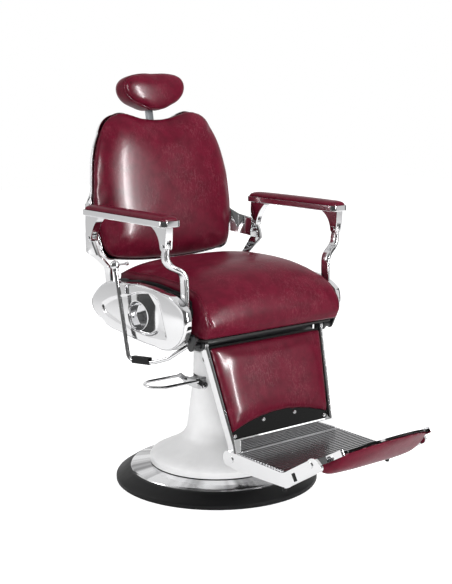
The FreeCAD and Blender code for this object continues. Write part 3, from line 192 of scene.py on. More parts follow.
def fadeAcross(tree, source, edges, dark, pale):
    # from dark to pale along the studio's depth
    towards = addNode(tree, "VectorMath", {1: studio["facing"]}, operation="DOT_PRODUCT")
    tree.links.new(source, towards.inputs[0])
    return between(tree, towards.outputs["Value"], edges, Min=dark, Max=pale).outputs[0]


def floorMaterial():
    # paper sweep: white to the eye and in reflections near the chair, with painted shade where the metal sees
    # it towards the camera, and it keeps the chair's soft shadow
    material = bpy.data.materials.new("paperFloor")
    material.use_nodes = True
    tree = material.node_tree
    tree.nodes.clear()
    link = tree.links.new
    white = studio["floorColour"]
    out = addNode(tree, "OutputMaterial")
    diffuse = addNode(tree, "BsdfDiffuse")
    glow = addNode(tree, "Emission")
    path = addNode(tree, "LightPath")
    where = addNode(tree, "NewGeometry")
    reflectedShade = colourMix(tree, (0, 0, 0), white)
    paper = colourMix(tree, white, white)
    both = addNode(tree, "AddShader")
    # painted shade: only in the metal's reflections, the floor's colour fades to dark towards the camera
    link(fadeAcross(tree, where.outputs["Position"], studio["floorEdge"], studio["floorDark"], 1),
         reflectedShade.inputs["Factor"])
    link(path.outputs["Is Glossy Ray"], paper.inputs["Factor"])
    link(reflectedShade.outputs["Result"], paper.inputs["B"])
    link(paper.outputs["Result"], diffuse.inputs["Color"])
    link(sums(tree, "MULTIPLY", path.outputs["Is Camera Ray"], studio["floorGlow"]), glow.inputs["Strength"])
    link(diffuse.outputs[0], both.inputs[0])
    link(glow.outputs[0], both.inputs[1])
    link(both.outputs[0], out.inputs["Surface"])
    return material


def buildWorld():
    # white to the camera, pale and dark bands for the metal, even and soft for the rest
    world = bpy.data.worlds.new("studioWorld")
    scene.world = world
    world.use_nodes = True
    tree = world.node_tree
    tree.nodes.clear()
    link = tree.links.new
    white = (1, 1, 1, 1)
    out = addNode(tree, "OutputWorld")
    path = addNode(tree, "LightPath")
    seenWhite = addNode(tree, "Background", {"Color": white})
    soft = addNode(tree, "Background", {"Color": white, "Strength": studio["worldLight"]})
    banded = addNode(tree, "Background")
    direction = addNode(tree, "TexCoord").outputs["Generated"]
    parts = addNode(tree, "SeparateXYZ")
    place = between(tree, parts.outputs["Z"], (-1, 1), "LINEAR")
    ramp = addNode(tree, "ValToRGB")
    ramp.color_ramp.interpolation = "B_SPLINE"
    stops = ramp.color_ramp.elements
    for index, (height, level) in enumerate(studio["bands"]):
        stop = stops[index] if index < 2 else stops.new(0.5)
        stop.position = (height + 1) / 2
        stop.color = (level, level, level, 1)
    glossyMix = addNode(tree, "MixShader")
    cameraMix = addNode(tree, "MixShader")
    link(fadeAcross(tree, direction, studio["backdrop"], studio["roomDark"], studio["roomPale"]),
         banded.inputs["Strength"])
    link(direction, parts.inputs[0])
    link(place.outputs[0], ramp.inputs[0])
    link(ramp.outputs[0], banded.inputs["Color"])
    link(path.outputs["Is Glossy Ray"], glossyMix.inputs[0])
    link(soft.outputs[0], glossyMix.inputs[1])
    link(banded.outputs[0], glossyMix.inputs[2])
    link(path.outputs["Is Camera Ray"], cameraMix.inputs[0])
    link(glossyMix.outputs[0], cameraMix.inputs[1])
    link(seenWhite.outputs[0], cameraMix.inputs[2])
    link(cameraMix.outputs[0], out.inputs["Surface"])


# finishes, paint where no kind is given: rough is the roughness where wiped and where dull, grain is the
# depth of the unevenness in metres
finishes = {
    # the pale crease colour is partly worn crease and partly painted highlight glinting on the creases
    "leather_burgundy": {"kind": "leather", "colour": (0.106, 0.0045, 0.0168), "shade": (0.07, 0.003, 0.011),
                         "fleck": (0.3, 0.09, 0.115), "fleckShare": 0.17, "rough": (0.26, 0.36),
                         "grain": 0.0007, "coat": 0.06, "coatRoughness": 0.16, "specular": 0.055},
    "chrome": {"kind": "metal", "colour": (0.86, 0.86, 0.87), "rough": (0.035, 0.085), "grain": 0.00003},
    "chrome_cast": {"kind": "metal", "colour": (0.84, 0.84, 0.85), "rough": (0.14, 0.24), "grain": 0.00012},
    # the spun dome's shade colour is the dark of painted reflection wedges
    "dome_steel": {"kind": "spun", "colour": (0.86, 0.86, 0.87), "shade": (0.22, 0.22, 0.225),
                   "rough": (0.1, 0.17), "grain": 0.00002},
    "machined_steel": {"kind": "brushed", "colour": (0.55, 0.55, 0.56), "rough": (0.22, 0.36),
                       "grain": 0.00003},
    "steel_grey": {"kind": "brushed", "colour": (0.34, 0.36, 0.38), "rough": (0.26, 0.4), "grain": 0.00003},
    "footrest_aluminium": {"kind": "brushed", "colour": (0.5, 0.5, 0.51), "rough": (0.2, 0.3),
                           "grain": 0.00002},
    "enamel_white": {"colour": (0.96, 0.96, 0.965), "rough": (0.3, 0.38), "coat": 0.25,
                     "coatRoughness": 0.3, "grain": 0.00002},
    "base_plate_steel": {"colour": (0.03, 0.03, 0.032), "rough": (0.4, 0.55), "grain": 0.00008},
    "steel_black": {"colour": (0.012, 0.012, 0.013), "rough": (0.26, 0.38), "coat": 0.2, "grain": 0.00006},
    "hub_casting": {"colour": (0.03, 0.03, 0.032), "rough": (0.45, 0.6), "grain": 0.0003},
    "pump_casting": {"colour": (0.7, 0.7, 0.71), "rough": (0.35, 0.5), "grain": 0.0002},
    "rubber_black": {"colour": (0.006, 0.006, 0.0065), "rough": (0.38, 0.52),
                     "specular": 0.25, "grain": 0.00008},
    "board_black": {"colour": (0.003, 0.003, 0.003), "rough": (0.03, 0.07), "coat": 0.3,
                    "specular": 0.2, "grain": 0.00001},
    # painted shade for the footrest plate's grooves and rib flanks
    "groove_dark": {"colour": (0.02, 0.02, 0.021), "rough": (0.4, 0.6), "specular": 0.3, "grain": 0.00005},
    "board_seat": {"colour": (0.012, 0.01, 0.01), "rough": (0.5, 0.6), "grain": 0.0001}}
# scales are in waves to the metre
leatherPattern = {"pores": 700.0, "poreDepth": 0.1, "pull": (1.0, 0.7, 0.38), "creases": 130.0,
                  "creaseWidth": 0.045, "creaseDepth": 0.3, "folds": 70, "patches": 10,
                  "patchEdge": (0.38, 0.62), "tone": 26.0, "toneEdge": (0.3, 0.6), "bump": 0.3}
metalPattern = {"marks": 14.0, "markEdge": (0.3, 0.7), "fine": 420, "brushedMarks": 60,
                "brushedPull": (0.08, 1, 1), "rays": 11, "rayEdge": (0.4, 0.6), "latheShine": 0.6,
                "bump": 0.6, "dullMetal": 0.9, "dullPaint": 0.8}


def newGroup(name, inputs, outputs):
    group = bpy.data.node_groups.new(name, "ShaderNodeTree")
    for label, kind, value in inputs:
        socket = group.interface.new_socket(label, in_out="INPUT", socket_type=kind)
        if value is not None:
            socket.default_value = value
    for label in outputs:
        group.interface.new_socket(label, in_out="OUTPUT", socket_type="NodeSocketFloat")
    return group, group.nodes.new("NodeGroupInput"), group.nodes.new("NodeGroupOutput")


def noise(tree, source, sockets, scale=None, dimensions="3D"):
    node = addNode(tree, "TexNoise", sockets, noise_dimensions=dimensions)
    tree.links.new(source, node.inputs["W" if dimensions == "1D" else "Vector"])
    if scale:
        tree.links.new(scale, node.inputs["Scale"])
    return node.outputs["Fac"]


def leatherGroup():
    # pores, fine creases pulled up the hide, pale marks along them that are partly worn crease and partly
    # painted highlight, and a slow change of tone
    look = leatherPattern
    group, given, out = newGroup("leatherSkin", [
        ("Vector", "NodeSocketVector", None), ("Pores", "NodeSocketFloat", look["pores"]),
        ("Creases", "NodeSocketFloat", look["creases"]), ("Tone Scale", "NodeSocketFloat", look["tone"])],
        ["Height", "Tone", "Wear", "Flecks"])
    link = group.links.new
    hide = given.outputs["Vector"]
    pores = addNode(group, "TexVoronoi", feature="SMOOTH_F1")
    link(hide, pores.inputs["Vector"])
    link(given.outputs["Pores"], pores.inputs["Scale"])
    pulled = addNode(group, "VectorMath", {1: look["pull"]}, operation="MULTIPLY")
    link(hide, pulled.inputs[0])
    # a crease runs where the noise crosses its middle value
    creases = noise(group, pulled.outputs[0], {"Detail": 2, "Distortion": 0.5}, given.outputs["Creases"])
    away = sums(group, "ABSOLUTE", sums(group, "SUBTRACT", creases, 0.5))
    lines = between(group, away, (0, look["creaseWidth"]), Min=1, Max=0)
    folds = noise(group, pulled.outputs[0], {"Scale": look["folds"], "Detail": 3})
    porePart = sums(group, "MULTIPLY_ADD", pores.outputs["Distance"], look["poreDepth"], folds)
    # pale marks on the creases, in patches: partly worn crease, partly painted highlight
    wearAndGlintPatches = between(group, noise(group, hide, {"Scale": look["patches"], "Detail": 3}), look["patchEdge"])
    creaseWearAndGlintLines = sums(group, "MULTIPLY", lines.outputs[0], wearAndGlintPatches.outputs[0])
    tone = noise(group, hide, {"Detail": 6, "Roughness": 0.68}, given.outputs["Tone Scale"])
    link(sums(group, "MULTIPLY_ADD", creaseWearAndGlintLines, look["creaseDepth"], porePart), out.inputs["Height"])
    link(tone, out.inputs["Tone"])
    link(folds, out.inputs["Wear"])
    link(creaseWearAndGlintLines, out.inputs["Flecks"])
    return group


def polishGroup():
    # wiped smudges and a faint unevenness, stretched along X for a brushed face
    look = metalPattern
    group, given, out = newGroup("polishMarks", [
        ("Vector", "NodeSocketVector", None), ("Scale", "NodeSocketFloat", look["marks"]),
        ("Stretch", "NodeSocketVector", (1, 1, 1)), ("Low", "NodeSocketFloat", 0.05),
        ("High", "NodeSocketFloat", 0.1)], ["Roughness", "Height", "Mask"])
    link = group.links.new
    stretched = addNode(group, "VectorMath", operation="MULTIPLY")
    link(given.outputs["Vector"], stretched.inputs[0])
    link(given.outputs["Stretch"], stretched.inputs[1])
    marks = noise(group, stretched.outputs[0], {"Detail": 6, "Roughness": 0.62}, given.outputs["Scale"])
    level = between(group, marks, look["markEdge"], "LINEAR")
    link(given.outputs["Low"], level.inputs["To Min"])
    link(given.outputs["High"], level.inputs["To Max"])
    link(level.outputs[0], out.inputs["Roughness"])
    link(noise(group, stretched.outputs[0], {"Scale": look["fine"], "Detail": 3}), out.inputs["Height"])
    link(marks, out.inputs["Mask"])
    return group


groups = {"leather": leatherGroup(), "polish": polishGroup()}


def leatherColour(tree, look, marks, shader):
    low, high = look["rough"]
    tone = between(tree, marks.outputs["Tone"], leatherPattern["toneEdge"], "LINEAR")
    tint = colourMix(tree, look["shade"], look["colour"])
    # the pale crease marks mixed into the colour are partly painted highlight
    fleck = sums(tree, "MULTIPLY", marks.outputs["Flecks"], look["fleckShare"])
    creaseWearAndGlintTint = colourMix(tree, look["colour"], look["fleck"])
    rough = between(tree, marks.outputs["Wear"], (0, 1), "LINEAR", Min=high, Max=low)
    tree.links.new(tone.outputs[0], tint.inputs["Factor"])
    tree.links.new(fleck, creaseWearAndGlintTint.inputs["Factor"])
    tree.links.new(tint.outputs["Result"], creaseWearAndGlintTint.inputs["A"])
    tree.links.new(rough.outputs[0], shader.inputs["Roughness"])
    return creaseWearAndGlintTint


def hardColour(tree, look, marks, shader, metal):
    dull = [part * metalPattern["dullMetal" if metal else "dullPaint"] for part in look["colour"]]
    tint = colourMix(tree, dull, look["colour"])
    tree.links.new(marks.outputs["Mask"], tint.inputs["Factor"])
    marks.inputs["Low"].default_value, marks.inputs["High"].default_value = look["rough"]
    if look.get("kind") == "brushed":
        marks.inputs["Stretch"].default_value = metalPattern["brushedPull"]
        marks.inputs["Scale"].default_value = metalPattern["brushedMarks"]
    tree.links.new(marks.outputs["Roughness"], shader.inputs["Roughness"])
    shader.inputs["Metallic"].default_value = float(metal)
    return tint


def spunShineAndPaintedRays(tree, look, where, tint, shader):
    # turned on a lathe: the shine opens into radial streaks from the middle, and dark and pale wedges of
    # painted reflection go into the colour round the middle
    ringwise = addNode(tree, "Tangent", direction_type="RADIAL", axis="Z")
    tree.links.new(ringwise.outputs[0], shader.inputs["Tangent"])
    shader.inputs["Anisotropic"].default_value = metalPattern["latheShine"]
    turning = addNode(tree, "TexGradient", gradient_type="RADIAL")
    tree.links.new(where, turning.inputs["Vector"])
    rays = noise(tree, turning.outputs["Fac"], {"Scale": metalPattern["rays"], "Detail": 3}, dimensions="1D")
    tree.links.new(between(tree, rays, metalPattern["rayEdge"]).outputs[0], tint.inputs["Factor"])
    tint.inputs["A"].default_value = (*look["shade"], 1)


def finishMaterial(slot):
    look = finishes[slot]
    material = bpy.data.materials.new(slot)
    material.use_nodes = True
    tree = material.node_tree
    shader = tree.nodes["Principled BSDF"]
    where = addNode(tree, "TexCoord").outputs["Object"]
    kind = look.get("kind", "paint")
    soft, metal = kind == "leather", kind in ("metal", "brushed", "spun")
    marks = addNode(tree, "Group", node_tree=groups["leather" if soft else "polish"])
    tree.links.new(where, marks.inputs["Vector"])
    strength = (leatherPattern if soft else metalPattern)["bump"]
    bump = addNode(tree, "Bump", {"Distance": look["grain"], "Strength": strength})
    if soft:
        tint = leatherColour(tree, look, marks, shader)
    else:
        tint = hardColour(tree, look, marks, shader, metal)
    if kind == "spun":
        spunShineAndPaintedRays(tree, look, where, tint, shader)
    if not metal:
        shader.inputs["Coat Weight"].default_value = look.get("coat", 0)
        shader.inputs["Coat Roughness"].default_value = look.get("coatRoughness", 0.05)
    shader.inputs["Specular IOR Level"].default_value = look.get("specular", 0.5)
    tree.links.new(tint.outputs["Result"], shader.inputs["Base Color"])
    tree.links.new(marks.outputs["Height"], bump.inputs["Height"])
    tree.links.new(bump.outputs["Normal"], shader.inputs["Normal"])
    return material


materials = {slot: finishMaterial(slot) for slot in finishes}


# corners closer than a weld are joined, in metres, and faces flatter than the angle melt into one, in degrees
weld, softWeld, skinWeld, flatAngle = 0.00002, 0.00005, 0.0002, 0.12


def smoothed(mesh):
    mesh.polygons.foreach_set("use_smooth", [True] * len(mesh.polygons))


def newObject(name, bm, slot, smoothAngle=30):
    piece = meshObject(name, bm, materials[slot])
    smoothed(piece.data)
    if smoothAngle is not None:
        piece.data.set_sharp_from_angle(angle=math.radians(smoothAngle))
    return piece


def dress(piece, *replaced, slot=None, body=None):
    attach(piece, body or bodyOf[replaced[0]])
    if replaced:
        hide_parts(*replaced)
        done.update(replaced)
    slot or slotOf[replaced[0]]


def camelName(node):
    first, *rest = node.split("_")
    return first + "".join(word.capitalize() for word in rest)


def frameForm(node, joined=weld, melted=False):
    # a copy of the frame's form, with its loose triangles joined
    bm = bmesh.new()
    bm.from_mesh(nodes[node].data)
    bmesh.ops.remove_doubles(bm, verts=bm.verts, dist=joined)
    if melted:
        bmesh.ops.dissolve_limit(bm, angle_limit=math.radians(flatAngle), verts=bm.verts, edges=bm.edges)
    return bm


def boxForm(size, place, lean=0):
    bm = bmesh.new()
    bmesh.ops.create_cube(bm, size=1)
    bmesh.ops.scale(bm, vec=size, verts=bm.verts)
    bmesh.ops.rotate(bm, cent=(0, 0, 0), matrix=Matrix.Rotation(math.radians(lean), 3, "X"), verts=bm.verts)
    bmesh.ops.translate(bm, vec=place, verts=bm.verts)
    return bm


def breakEdges(piece, width, segments=3, sharp=30):
    bevel = piece.modifiers.new("brokenEdges", "BEVEL")
    bevel.width = width
    bevel.segments = segments
    bevel.limit_method = "ANGLE"
    bevel.angle_limit = math.radians(sharp)
    bevel.harden_normals = True


def bothSides(name, bm, slot, smoothAngle, node=None):
    # the right-hand piece and its mirror image, in place of the node of each side or as trim on the seat
    right = newObject(name + "Right", bm, slot, smoothAngle)
    other = bmesh.new()
    other.from_mesh(right.data)
    bmesh.ops.scale(other, vec=(-1, 1, 1), verts=other.verts)
    bmesh.ops.reverse_faces(other, faces=other.faces)
    left = newObject(name + "Left", other, slot, smoothAngle)
    for piece, side in ((right, "_right"), (left, "_left")):
        if node:
            dress(piece, node + side)
        else:
            dress(piece, slot=slot, body="seat")


def ease(value):
    value = np.clip(value, 0, 1)
    return value * value * (3 - 2 * value)


def smoothRows(rows, count):
    # an even run of rows, with a smooth curve through the given ones
    rows = np.array(rows, dtype=float)
    rows = np.vstack([2 * rows[0] - rows[1], rows, 2 * rows[-1] - rows[-2]])
    out = []
    for place in np.linspace(1, len(rows) - 2 - 1e-6, count):
        at, t = int(place), place - int(place)
        a, b, c, d = rows[at - 1:at + 3]
        slope, bend, twist = c - a, 2 * a - 5 * b + 4 * c - d, 3 * b - a - 3 * c + d
        out.append(0.5 * (2 * b + slope * t + bend * t * t + twist * t ** 3))
    return out


def wrapped(rows, around, place):
    # a closed skin: a grid bent round so that its long sides meet, with its ends filled
    bm = bmesh.new()
    bmesh.ops.create_grid(bm, x_segments=rows - 1, y_segments=around, size=1)
    for vertex in bm.verts:
        row = round((vertex.co.x + 1) / 2 * (rows - 1))
        turn = round((vertex.co.y + 1) / 2 * around) % around
        vertex.co = place(row, turn)
    bmesh.ops.remove_doubles(bm, verts=bm.verts, dist=skinWeld)
    bmesh.ops.holes_fill(bm, edges=[e for e in bm.edges if e.is_boundary], sides=0)
    bmesh.ops.recalc_face_normals(bm, faces=bm.faces)
    return bm


def evenly(points, count, closed):
    points = [Vector(p) for p in points]
    if closed:
        points.append(points[0].copy())
    lengths = [0.0]
    for a, b in zip(points, points[1:]):
        lengths.append(lengths[-1] + (b - a).length)
    spots, index = [], 0
    for number in range(count):
        along = lengths[-1] * number / (count if closed else count - 1)
        while index < len(points) - 2 and lengths[index + 1] < along:
            index += 1
        span = lengths[index + 1] - lengths[index]
        spots.append(points[index].lerp(points[index + 1], (along - lengths[index]) / span if span else 0))
    return spots


def sliceLoop(node, point, normal, count):
    # the frame form's outline where a plane cuts it, as evenly spaced points
    bm = frameForm(node, softWeld)
    bmesh.ops.bisect_plane(bm, geom=bm.verts[:] + bm.edges[:] + bm.faces[:], plane_co=point, plane_no=normal,
                           clear_inner=True, clear_outer=True)
    loose = {v: [e.other_vert(v) for e in v.link_edges] for v in bm.verts}
    start = max(bm.verts, key=lambda v: (v.co - Vector(point)).length)
    chain, last, here = [start.co.copy()], start, loose[start][0]
    while here is not start and len(chain) < len(loose):
        chain.append(here.co.copy())
        onward = [v for v in loose[here] if v is not last]
        if not onward:
            break
        last, here = here, onward[0]
    bm.free()
    return evenly(chain, count, True)


def evenOutline(node, point, normal, count, passes=6):
    # that outline with its corners eased
    spots = np.array([p[:] for p in sliceLoop(node, point, normal, count)])
    for _ in range(passes):
        spots = 0.5 * spots + 0.25 * (np.roll(spots, 1, axis=0) + np.roll(spots, -1, axis=0))
    return spots


# side panels: x is measured from the chair's middle, and pairs are y and z, in metres
sidePanel = {
    "inner": -0.2805, "outer": -0.3065, "sliceX": -0.29, "middle": (0.0, 0.565), "reach": (0.246, 0.085),
    "cup": (0.0, 0.557), "mouth": 0.044, "cupFloor": -0.269, "cupFoot": 0.038, "cupOuter": 0.047,
    "cupRise": 0.003, "cupRound": 0.0015, "lipRound": 0.0004, "crown": 0.003, "behind": 0.02,
    "around": 240, "outlinePoints": 720, "easing": 2, "faceRows": 52, "faceFrom": 0.0008, "faceTo": 0.0095,
    # the scoop: its depth, the share of it at the rear and where it deepens, how wide its wall is and where
    "scoop": 0.0175, "shallow": 0.2, "deepens": (0.03, 0.13), "wall": (0.007, 0.022),
    "widens": (-0.045, 0.06), "shoulder": 0.002,
    # every second point of the scoop's outline is the middle of a bent stretch
    "tear": ((0.182, 0.565), (0.12, 0.596), (0.019, 0.622), (-0.048, 0.635), (-0.106, 0.628), (-0.118, 0.618),
             (-0.124, 0.606), (-0.14, 0.565), (-0.158, 0.512), (-0.08, 0.507), (-0.018, 0.51), (0.101, 0.525),
             (0.182, 0.549)),
    # a fine groove, then the rounded rim band: how far in from the outline, how far down from the face
    "rim": ((0.0085, 0.0046), (0.0078, 0.0049), (0.007, 0.0034), (0.0055, 0.0028), (0.0035, 0.0036),
            (0.0018, 0.0056), (0.0006, 0.0085), (0.0, 0.0125)),
    # the rear edge and its turned-in flange: x from the inner face, and how far in from the outline
    "flange": ((-0.001, 0.0), (0.0, 0.001), (0.0, 0.005), (-0.015, 0.005))}


def tearOutline(count=14):
    chain, points = np.array(sidePanel["tear"]), []
    for start, via, end in zip(chain[::2], chain[1::2], chain[2::2]):
        bend = 2 * via - (start + end) / 2
        for t in np.arange(count) / count:
            points.append((1 - t) ** 2 * start + 2 * t * (1 - t) * bend + t * t * end)
    return np.array(points)


def insideDistance(spots, outline):
    # distance in from the outline's edge, negative outside it
    best, inside = np.full(len(spots), np.inf), np.zeros(len(spots), dtype=bool)
    for p, q in zip(outline, np.roll(outline, -1, axis=0)):
        edge = q - p
        t = np.clip(((spots - p) @ edge) / max(edge @ edge, 1e-12), 0, 1)
        best = np.minimum(best, np.linalg.norm(spots - p - t[:, None] * edge, axis=1))
        crosses = (p[1] > spots[:, 1]) != (q[1] > spots[:, 1])
        level = (q[0] - p[0]) * (spots[:, 1] - p[1]) / (q[1] - p[1] + 1e-12) + p[0]
        inside ^= crosses & (spots[:, 0] < level)
    return np.where(inside, best, -best)


def panelRim():
    centre = Vector((sidePanel["sliceX"], *sidePanel["middle"]))
    return evenOutline("side_panel_right", centre, Vector((1, 0, 0)), sidePanel["outlinePoints"],
                       sidePanel["easing"])[:, 1:]


def panelForm():
    # rows run from the cup's floor up its wall, over the face to the rim, and back behind it
    look = sidePanel
    around, outer, inner = look["around"], look["outer"], look["inner"]
    bottom, foot, mouth, small = look["cupFloor"], look["cupFoot"], look["mouth"], look["lipRound"]
    cupFace, cupRound = look["cupFloor"] - look["cupRise"], look["cupRound"]
    cup, rim, tear = np.array(look["cup"]), panelRim(), tearOutline()
    angles = np.arctan2(rim[:, 1] - cup[1], rim[:, 0] - cup[0])
    order = np.argsort(angles)
    turns = np.linspace(-math.pi, math.pi, around, endpoint=False)
    edge = np.interp(turns, angles[order], np.linalg.norm(rim - cup, axis=1)[order], period=2 * math.pi)
    way = np.stack([np.cos(turns), np.sin(turns)], axis=1)
    rows = []

    def face(spots):
        # the polished face's depth: crowned, with the tail-shaped scoop
        deepens, deepenOver = look["deepens"]
        widens, widenOver = look["widens"]
        slope = look["shallow"] + (1 - look["shallow"]) * ease((deepens - spots[:, 0]) / deepenOver)
        wall = look["wall"][0] + look["wall"][1] * ease((widens - spots[:, 0]) / widenOver)
        scoop = look["scoop"] * slope * ease((insideDistance(spots, tear) + look["shoulder"]) / wall)
        high = np.linalg.norm((spots - look["middle"]) / look["reach"], axis=1)
        return outer + look["crown"] * np.clip(high, 0, 1) ** 3 + scoop

    def row(x, radius):
        spots = cup + way * np.reshape(radius, (-1, 1))
        rows.append(np.column_stack([np.broadcast_to(x, around), spots]))

    row(bottom, 0)
    for radius in (0.4 * foot, 0.8 * foot, foot - cupRound):
        row(cupFace, radius)
    lip = face(cup + way * mouth)
    for t in (0.05, 0.3, 0.6, 0.85, 0.95):
        row(cupFace * (1 - t) + (lip + cupRound) * t, foot + (mouth - cupRound - foot) * t)
    row(lip + small, mouth - small)
    for t in np.linspace(0, 1, look["faceRows"]) ** 0.9:
        radius = mouth + look["faceFrom"] + (edge - look["faceTo"] - mouth) * t
        row(face(cup + way * radius[:, None]), radius)
    for back, down in look["rim"]:
        row(outer + down, edge - back)
    for x, back in look["flange"]:
        row(inner + x, edge - back)
    row(outer + look["behind"], look["cupOuter"])
    row(bottom, look["cupOuter"])
    row(bottom + skinWeld, 0)
    return wrapped(len(rows), around, lambda number, turn: Vector(rows[number][turn]))


# a thin black strip hugging the seat's side just above the side panel's rim, which draws a dark line between
# side panel and seat
trim = {"from": -0.216, "to": 0.17, "above": 0.59, "outer": -0.2592, "inner": -0.2578, "top": 0.003,
        "foot": -0.022, "every": 4}


def trimForm():
    rim = panelRim()
    top = rim[(rim[:, 1] > trim["above"]) & (rim[:, 0] > trim["from"]) & (rim[:, 0] < trim["to"])]
    top = top[np.argsort(top[:, 0])][::trim["every"]]
    corners = [(trim[x], trim[z]) for x, z in (("inner", "top"), ("outer", "top"), ("outer", "foot"),
                                               ("inner", "foot"))]
    return wrapped(len(top), 4, lambda row, turn: Vector((corners[turn][0], top[row][0],
                                                          top[row][1] + corners[turn][1])))


# front posts, in mm: rows of x from the foot, y, z, thickness and depth, and discs with radius and width
post = {"x": -274, "around": 40, "steps": 56, "square": 3.2, "edge": 0.0025,
        "rows": ((0, -203, 600, 11, 34), (0, -202, 640, 11, 35), (0, -201, 676, 12, 35),
                 (-2, -200, 698, 14, 34), (-13, -196, 714, 16, 33), (-37, -187, 728, 17, 32),
                 (-51, -185, 745, 16, 31), (-54, -184, 762, 14, 30), (-54, -187, 781, 14, 26)),
        "discs": ((0, -205, 595, 18, 11), (-54, -188, 787, 13, 14))}


def postForm():
    # a bar of rounded section swept along its S bend, with the pivot boss and the arm's eye
    rows, around = smoothRows(post["rows"], post["steps"]), post["around"]

    def place(row, turn):
        x, y, z, thick, deep = rows[min(max(row, 1), len(rows)) - 1]
        spot = Vector((post["x"] + x, y, z))
        if row in (0, len(rows) + 1):
            return spot / 1000
        before, after = rows[max(row - 2, 0)], rows[min(row, len(rows) - 1)]
        along = Vector((after[0] - before[0], 0, after[2] - before[2])).normalized()
        across = Vector((along.z, 0, -along.x))
        wide, far = math.cos(2 * math.pi * turn / around), math.sin(2 * math.pi * turn / around)
        spread = (abs(wide) ** post["square"] + abs(far) ** post["square"]) ** (-1 / post["square"])
        return (spot + across * (wide * spread * thick / 2) + Vector((0, far * spread * deep / 2, 0))) / 1000
    bm = wrapped(len(rows) + 2, around, place)
    for x, y, z, radius, thick in post["discs"]:
        centre, size = Vector((post["x"] + x, y, z)) / 1000, radius / 1000
        turned = Matrix.Translation(centre) @ Matrix.Rotation(math.pi / 2, 4, "Y")
        disc = bmesh.ops.create_cone(bm, cap_ends=True, segments=48, radius1=size, radius2=size,
                                     depth=thick / 1000, matrix=turned)["verts"]
        rim = [edge for edge in {e for v in disc for e in v.link_edges} if edge.calc_face_angle(0) > 1]
        bmesh.ops.bevel(bm, geom=rim, offset=post["edge"], offset_type="OFFSET", segments=3, profile=0.5,
                        affect="EDGES", material=-1)
    return bm


# footrest plate: the heights between which its grooves and rib flanks lie, and above which its rear lip
# rises; grooves and rib flanks take the near-black groove finish, painted shade between the ribs
plateLook = {"grooves": (0.196, 0.1992), "flanks": (0.1965, 0.2005), "flankArea": 0.0002, "lip": 0.2012,
             "edge": 0.0006}


def ribbedPlate():
    bm = frameForm("footrest_plate", melted=True)
    low, high = plateLook["grooves"]
    flankLow, flankHigh = plateLook["flanks"]
    for face in bm.faces:
        height = face.calc_center_median().z
        groove = face.normal.z > 0.9 and low < height < high
        upright = abs(face.normal.y) > 0.5 and face.calc_area() > plateLook["flankArea"]
        # painted shade: groove floors and rib flanks go near-black
        if groove or (upright and flankLow < height < flankHigh):
            face.material_index = 1
        elif height > plateLook["lip"]:
            face.material_index = 2
    plate = newObject("footrestPlate", bm, "footrest_aluminium")
    plate.data.materials.append(materials["groove_dark"])
    plate.data.materials.append(materials["chrome"])
    breakEdges(plate, plateLook["edge"], segments=2)
    dress(plate, "footrest_plate")


# black strip under the tray's front edge, which closes the gap above the leg pad: it stands for the black
# board seen there and for painted shade in the gap
apron = {"size": (0.44, 0.003, 0.018), "place": (0, -0.2035, 0.4915), "edge": 0.001}


def seatApron():
    bm = boxForm(apron["size"], apron["place"])
    bmesh.ops.bevel(bm, geom=bm.edges[:], offset=apron["edge"], offset_type="OFFSET", segments=2, profile=0.5,
                    affect="EDGES", material=-1)
    dress(newObject("seatApron", bm, "steel_black"), slot="steel_black", body="seat")


# how wide the edges of the plainer parts are broken
edgeWidth = 0.0005
edgeWidths = {"base_rubber_ring": 0.0015, "back_bracket_left": 0.003, "back_bracket_right": 0.003,
              "leg_bar_left": 0.0016, "leg_bar_right": 0.0016, "footrest_frame": 0.0016, "flip_arms": 0.0012,
              "arm_tray_left": 0.0022, "arm_tray_right": 0.0022, "recline_pedal": 0.0015}


def refine(node):
    # the frame's form with merged faces and softly broken edges
    piece = newObject(camelName(node), frameForm(node, melted=True), slotOf[node])
    breakEdges(piece, edgeWidths.get(node, edgeWidth))
    dress(piece, node)


buildStage()
print("stage ready")

# cushions: up is the way each swells from its board, held the height up to which it is fixed there, in metres
backLean, seatFloor = 10.3, 0.5204
backUp, backOut = Vector((0, 0.1788, 0.9839)), Vector((0, -0.9839, 0.1788))
backFoot = Vector((0, 0.246, 0.677))
armPad = {"voxel": 0.0034, "rounding": 8, "draw": 0.0, "cap": 0.003, "sideCap": 0.0004, "fill": 0.8,
          "foot": (0, 0, 0.8574), "up": (0, 0, 1), "held": 0.006}
padding = {
    "seat_cushion": {"voxel": 0.0065, "rounding": 6, "draw": 0.003, "cap": 0.008, "sideCap": 0.001,
                     "fill": 0.9, "foot": (0, 0, seatFloor), "up": (0, 0, 1), "held": 0.012},
    "back_cushion": {"voxel": 0.0058, "rounding": 5, "draw": 0.002, "cap": 0.004, "sideCap": 0.0015,
                     "fill": 0.85, "foot": (0, 0.2617, 0.6741), "up": backOut, "held": 0.009},
    "headrest_cushion": {"voxel": 0.0036, "rounding": 5, "draw": 0.001, "cap": 0.004, "sideCap": 0.002,
                         "fill": 0.9, "foot": (0, 0.3979, 1.1942), "up": backOut, "held": 0.012},
    "arm_pad_left": armPad,
    "arm_pad_right": armPad,
    "leg_pad": {"voxel": 0.0042, "rounding": 90, "draw": 0.0, "cap": 0.0025, "sideCap": 0.0003, "fill": 0.8,
                "calm": 40, "foot": (0, -0.2321, 0.4998), "up": (0, -0.9598, 0.2807), "held": 0.005},
    "flip_cushion": {"voxel": 0.0042, "rounding": 80, "draw": 0.0, "cap": 0.005, "sideCap": 0.001,
                     "fill": 0.8, "foot": (0, -0.6587, 0.2441), "up": (0, -0.5, -0.866), "held": 0.006}}
filling = {"pressure": 4, "steps": 20, "calm": 8, "settle": 6, "freeFrom": 0.3}
sewing = {"piping": 0.0022, "valley": 0.005, "depth": 0.0014, "pucker": 0.35, "stitch": 1.9}
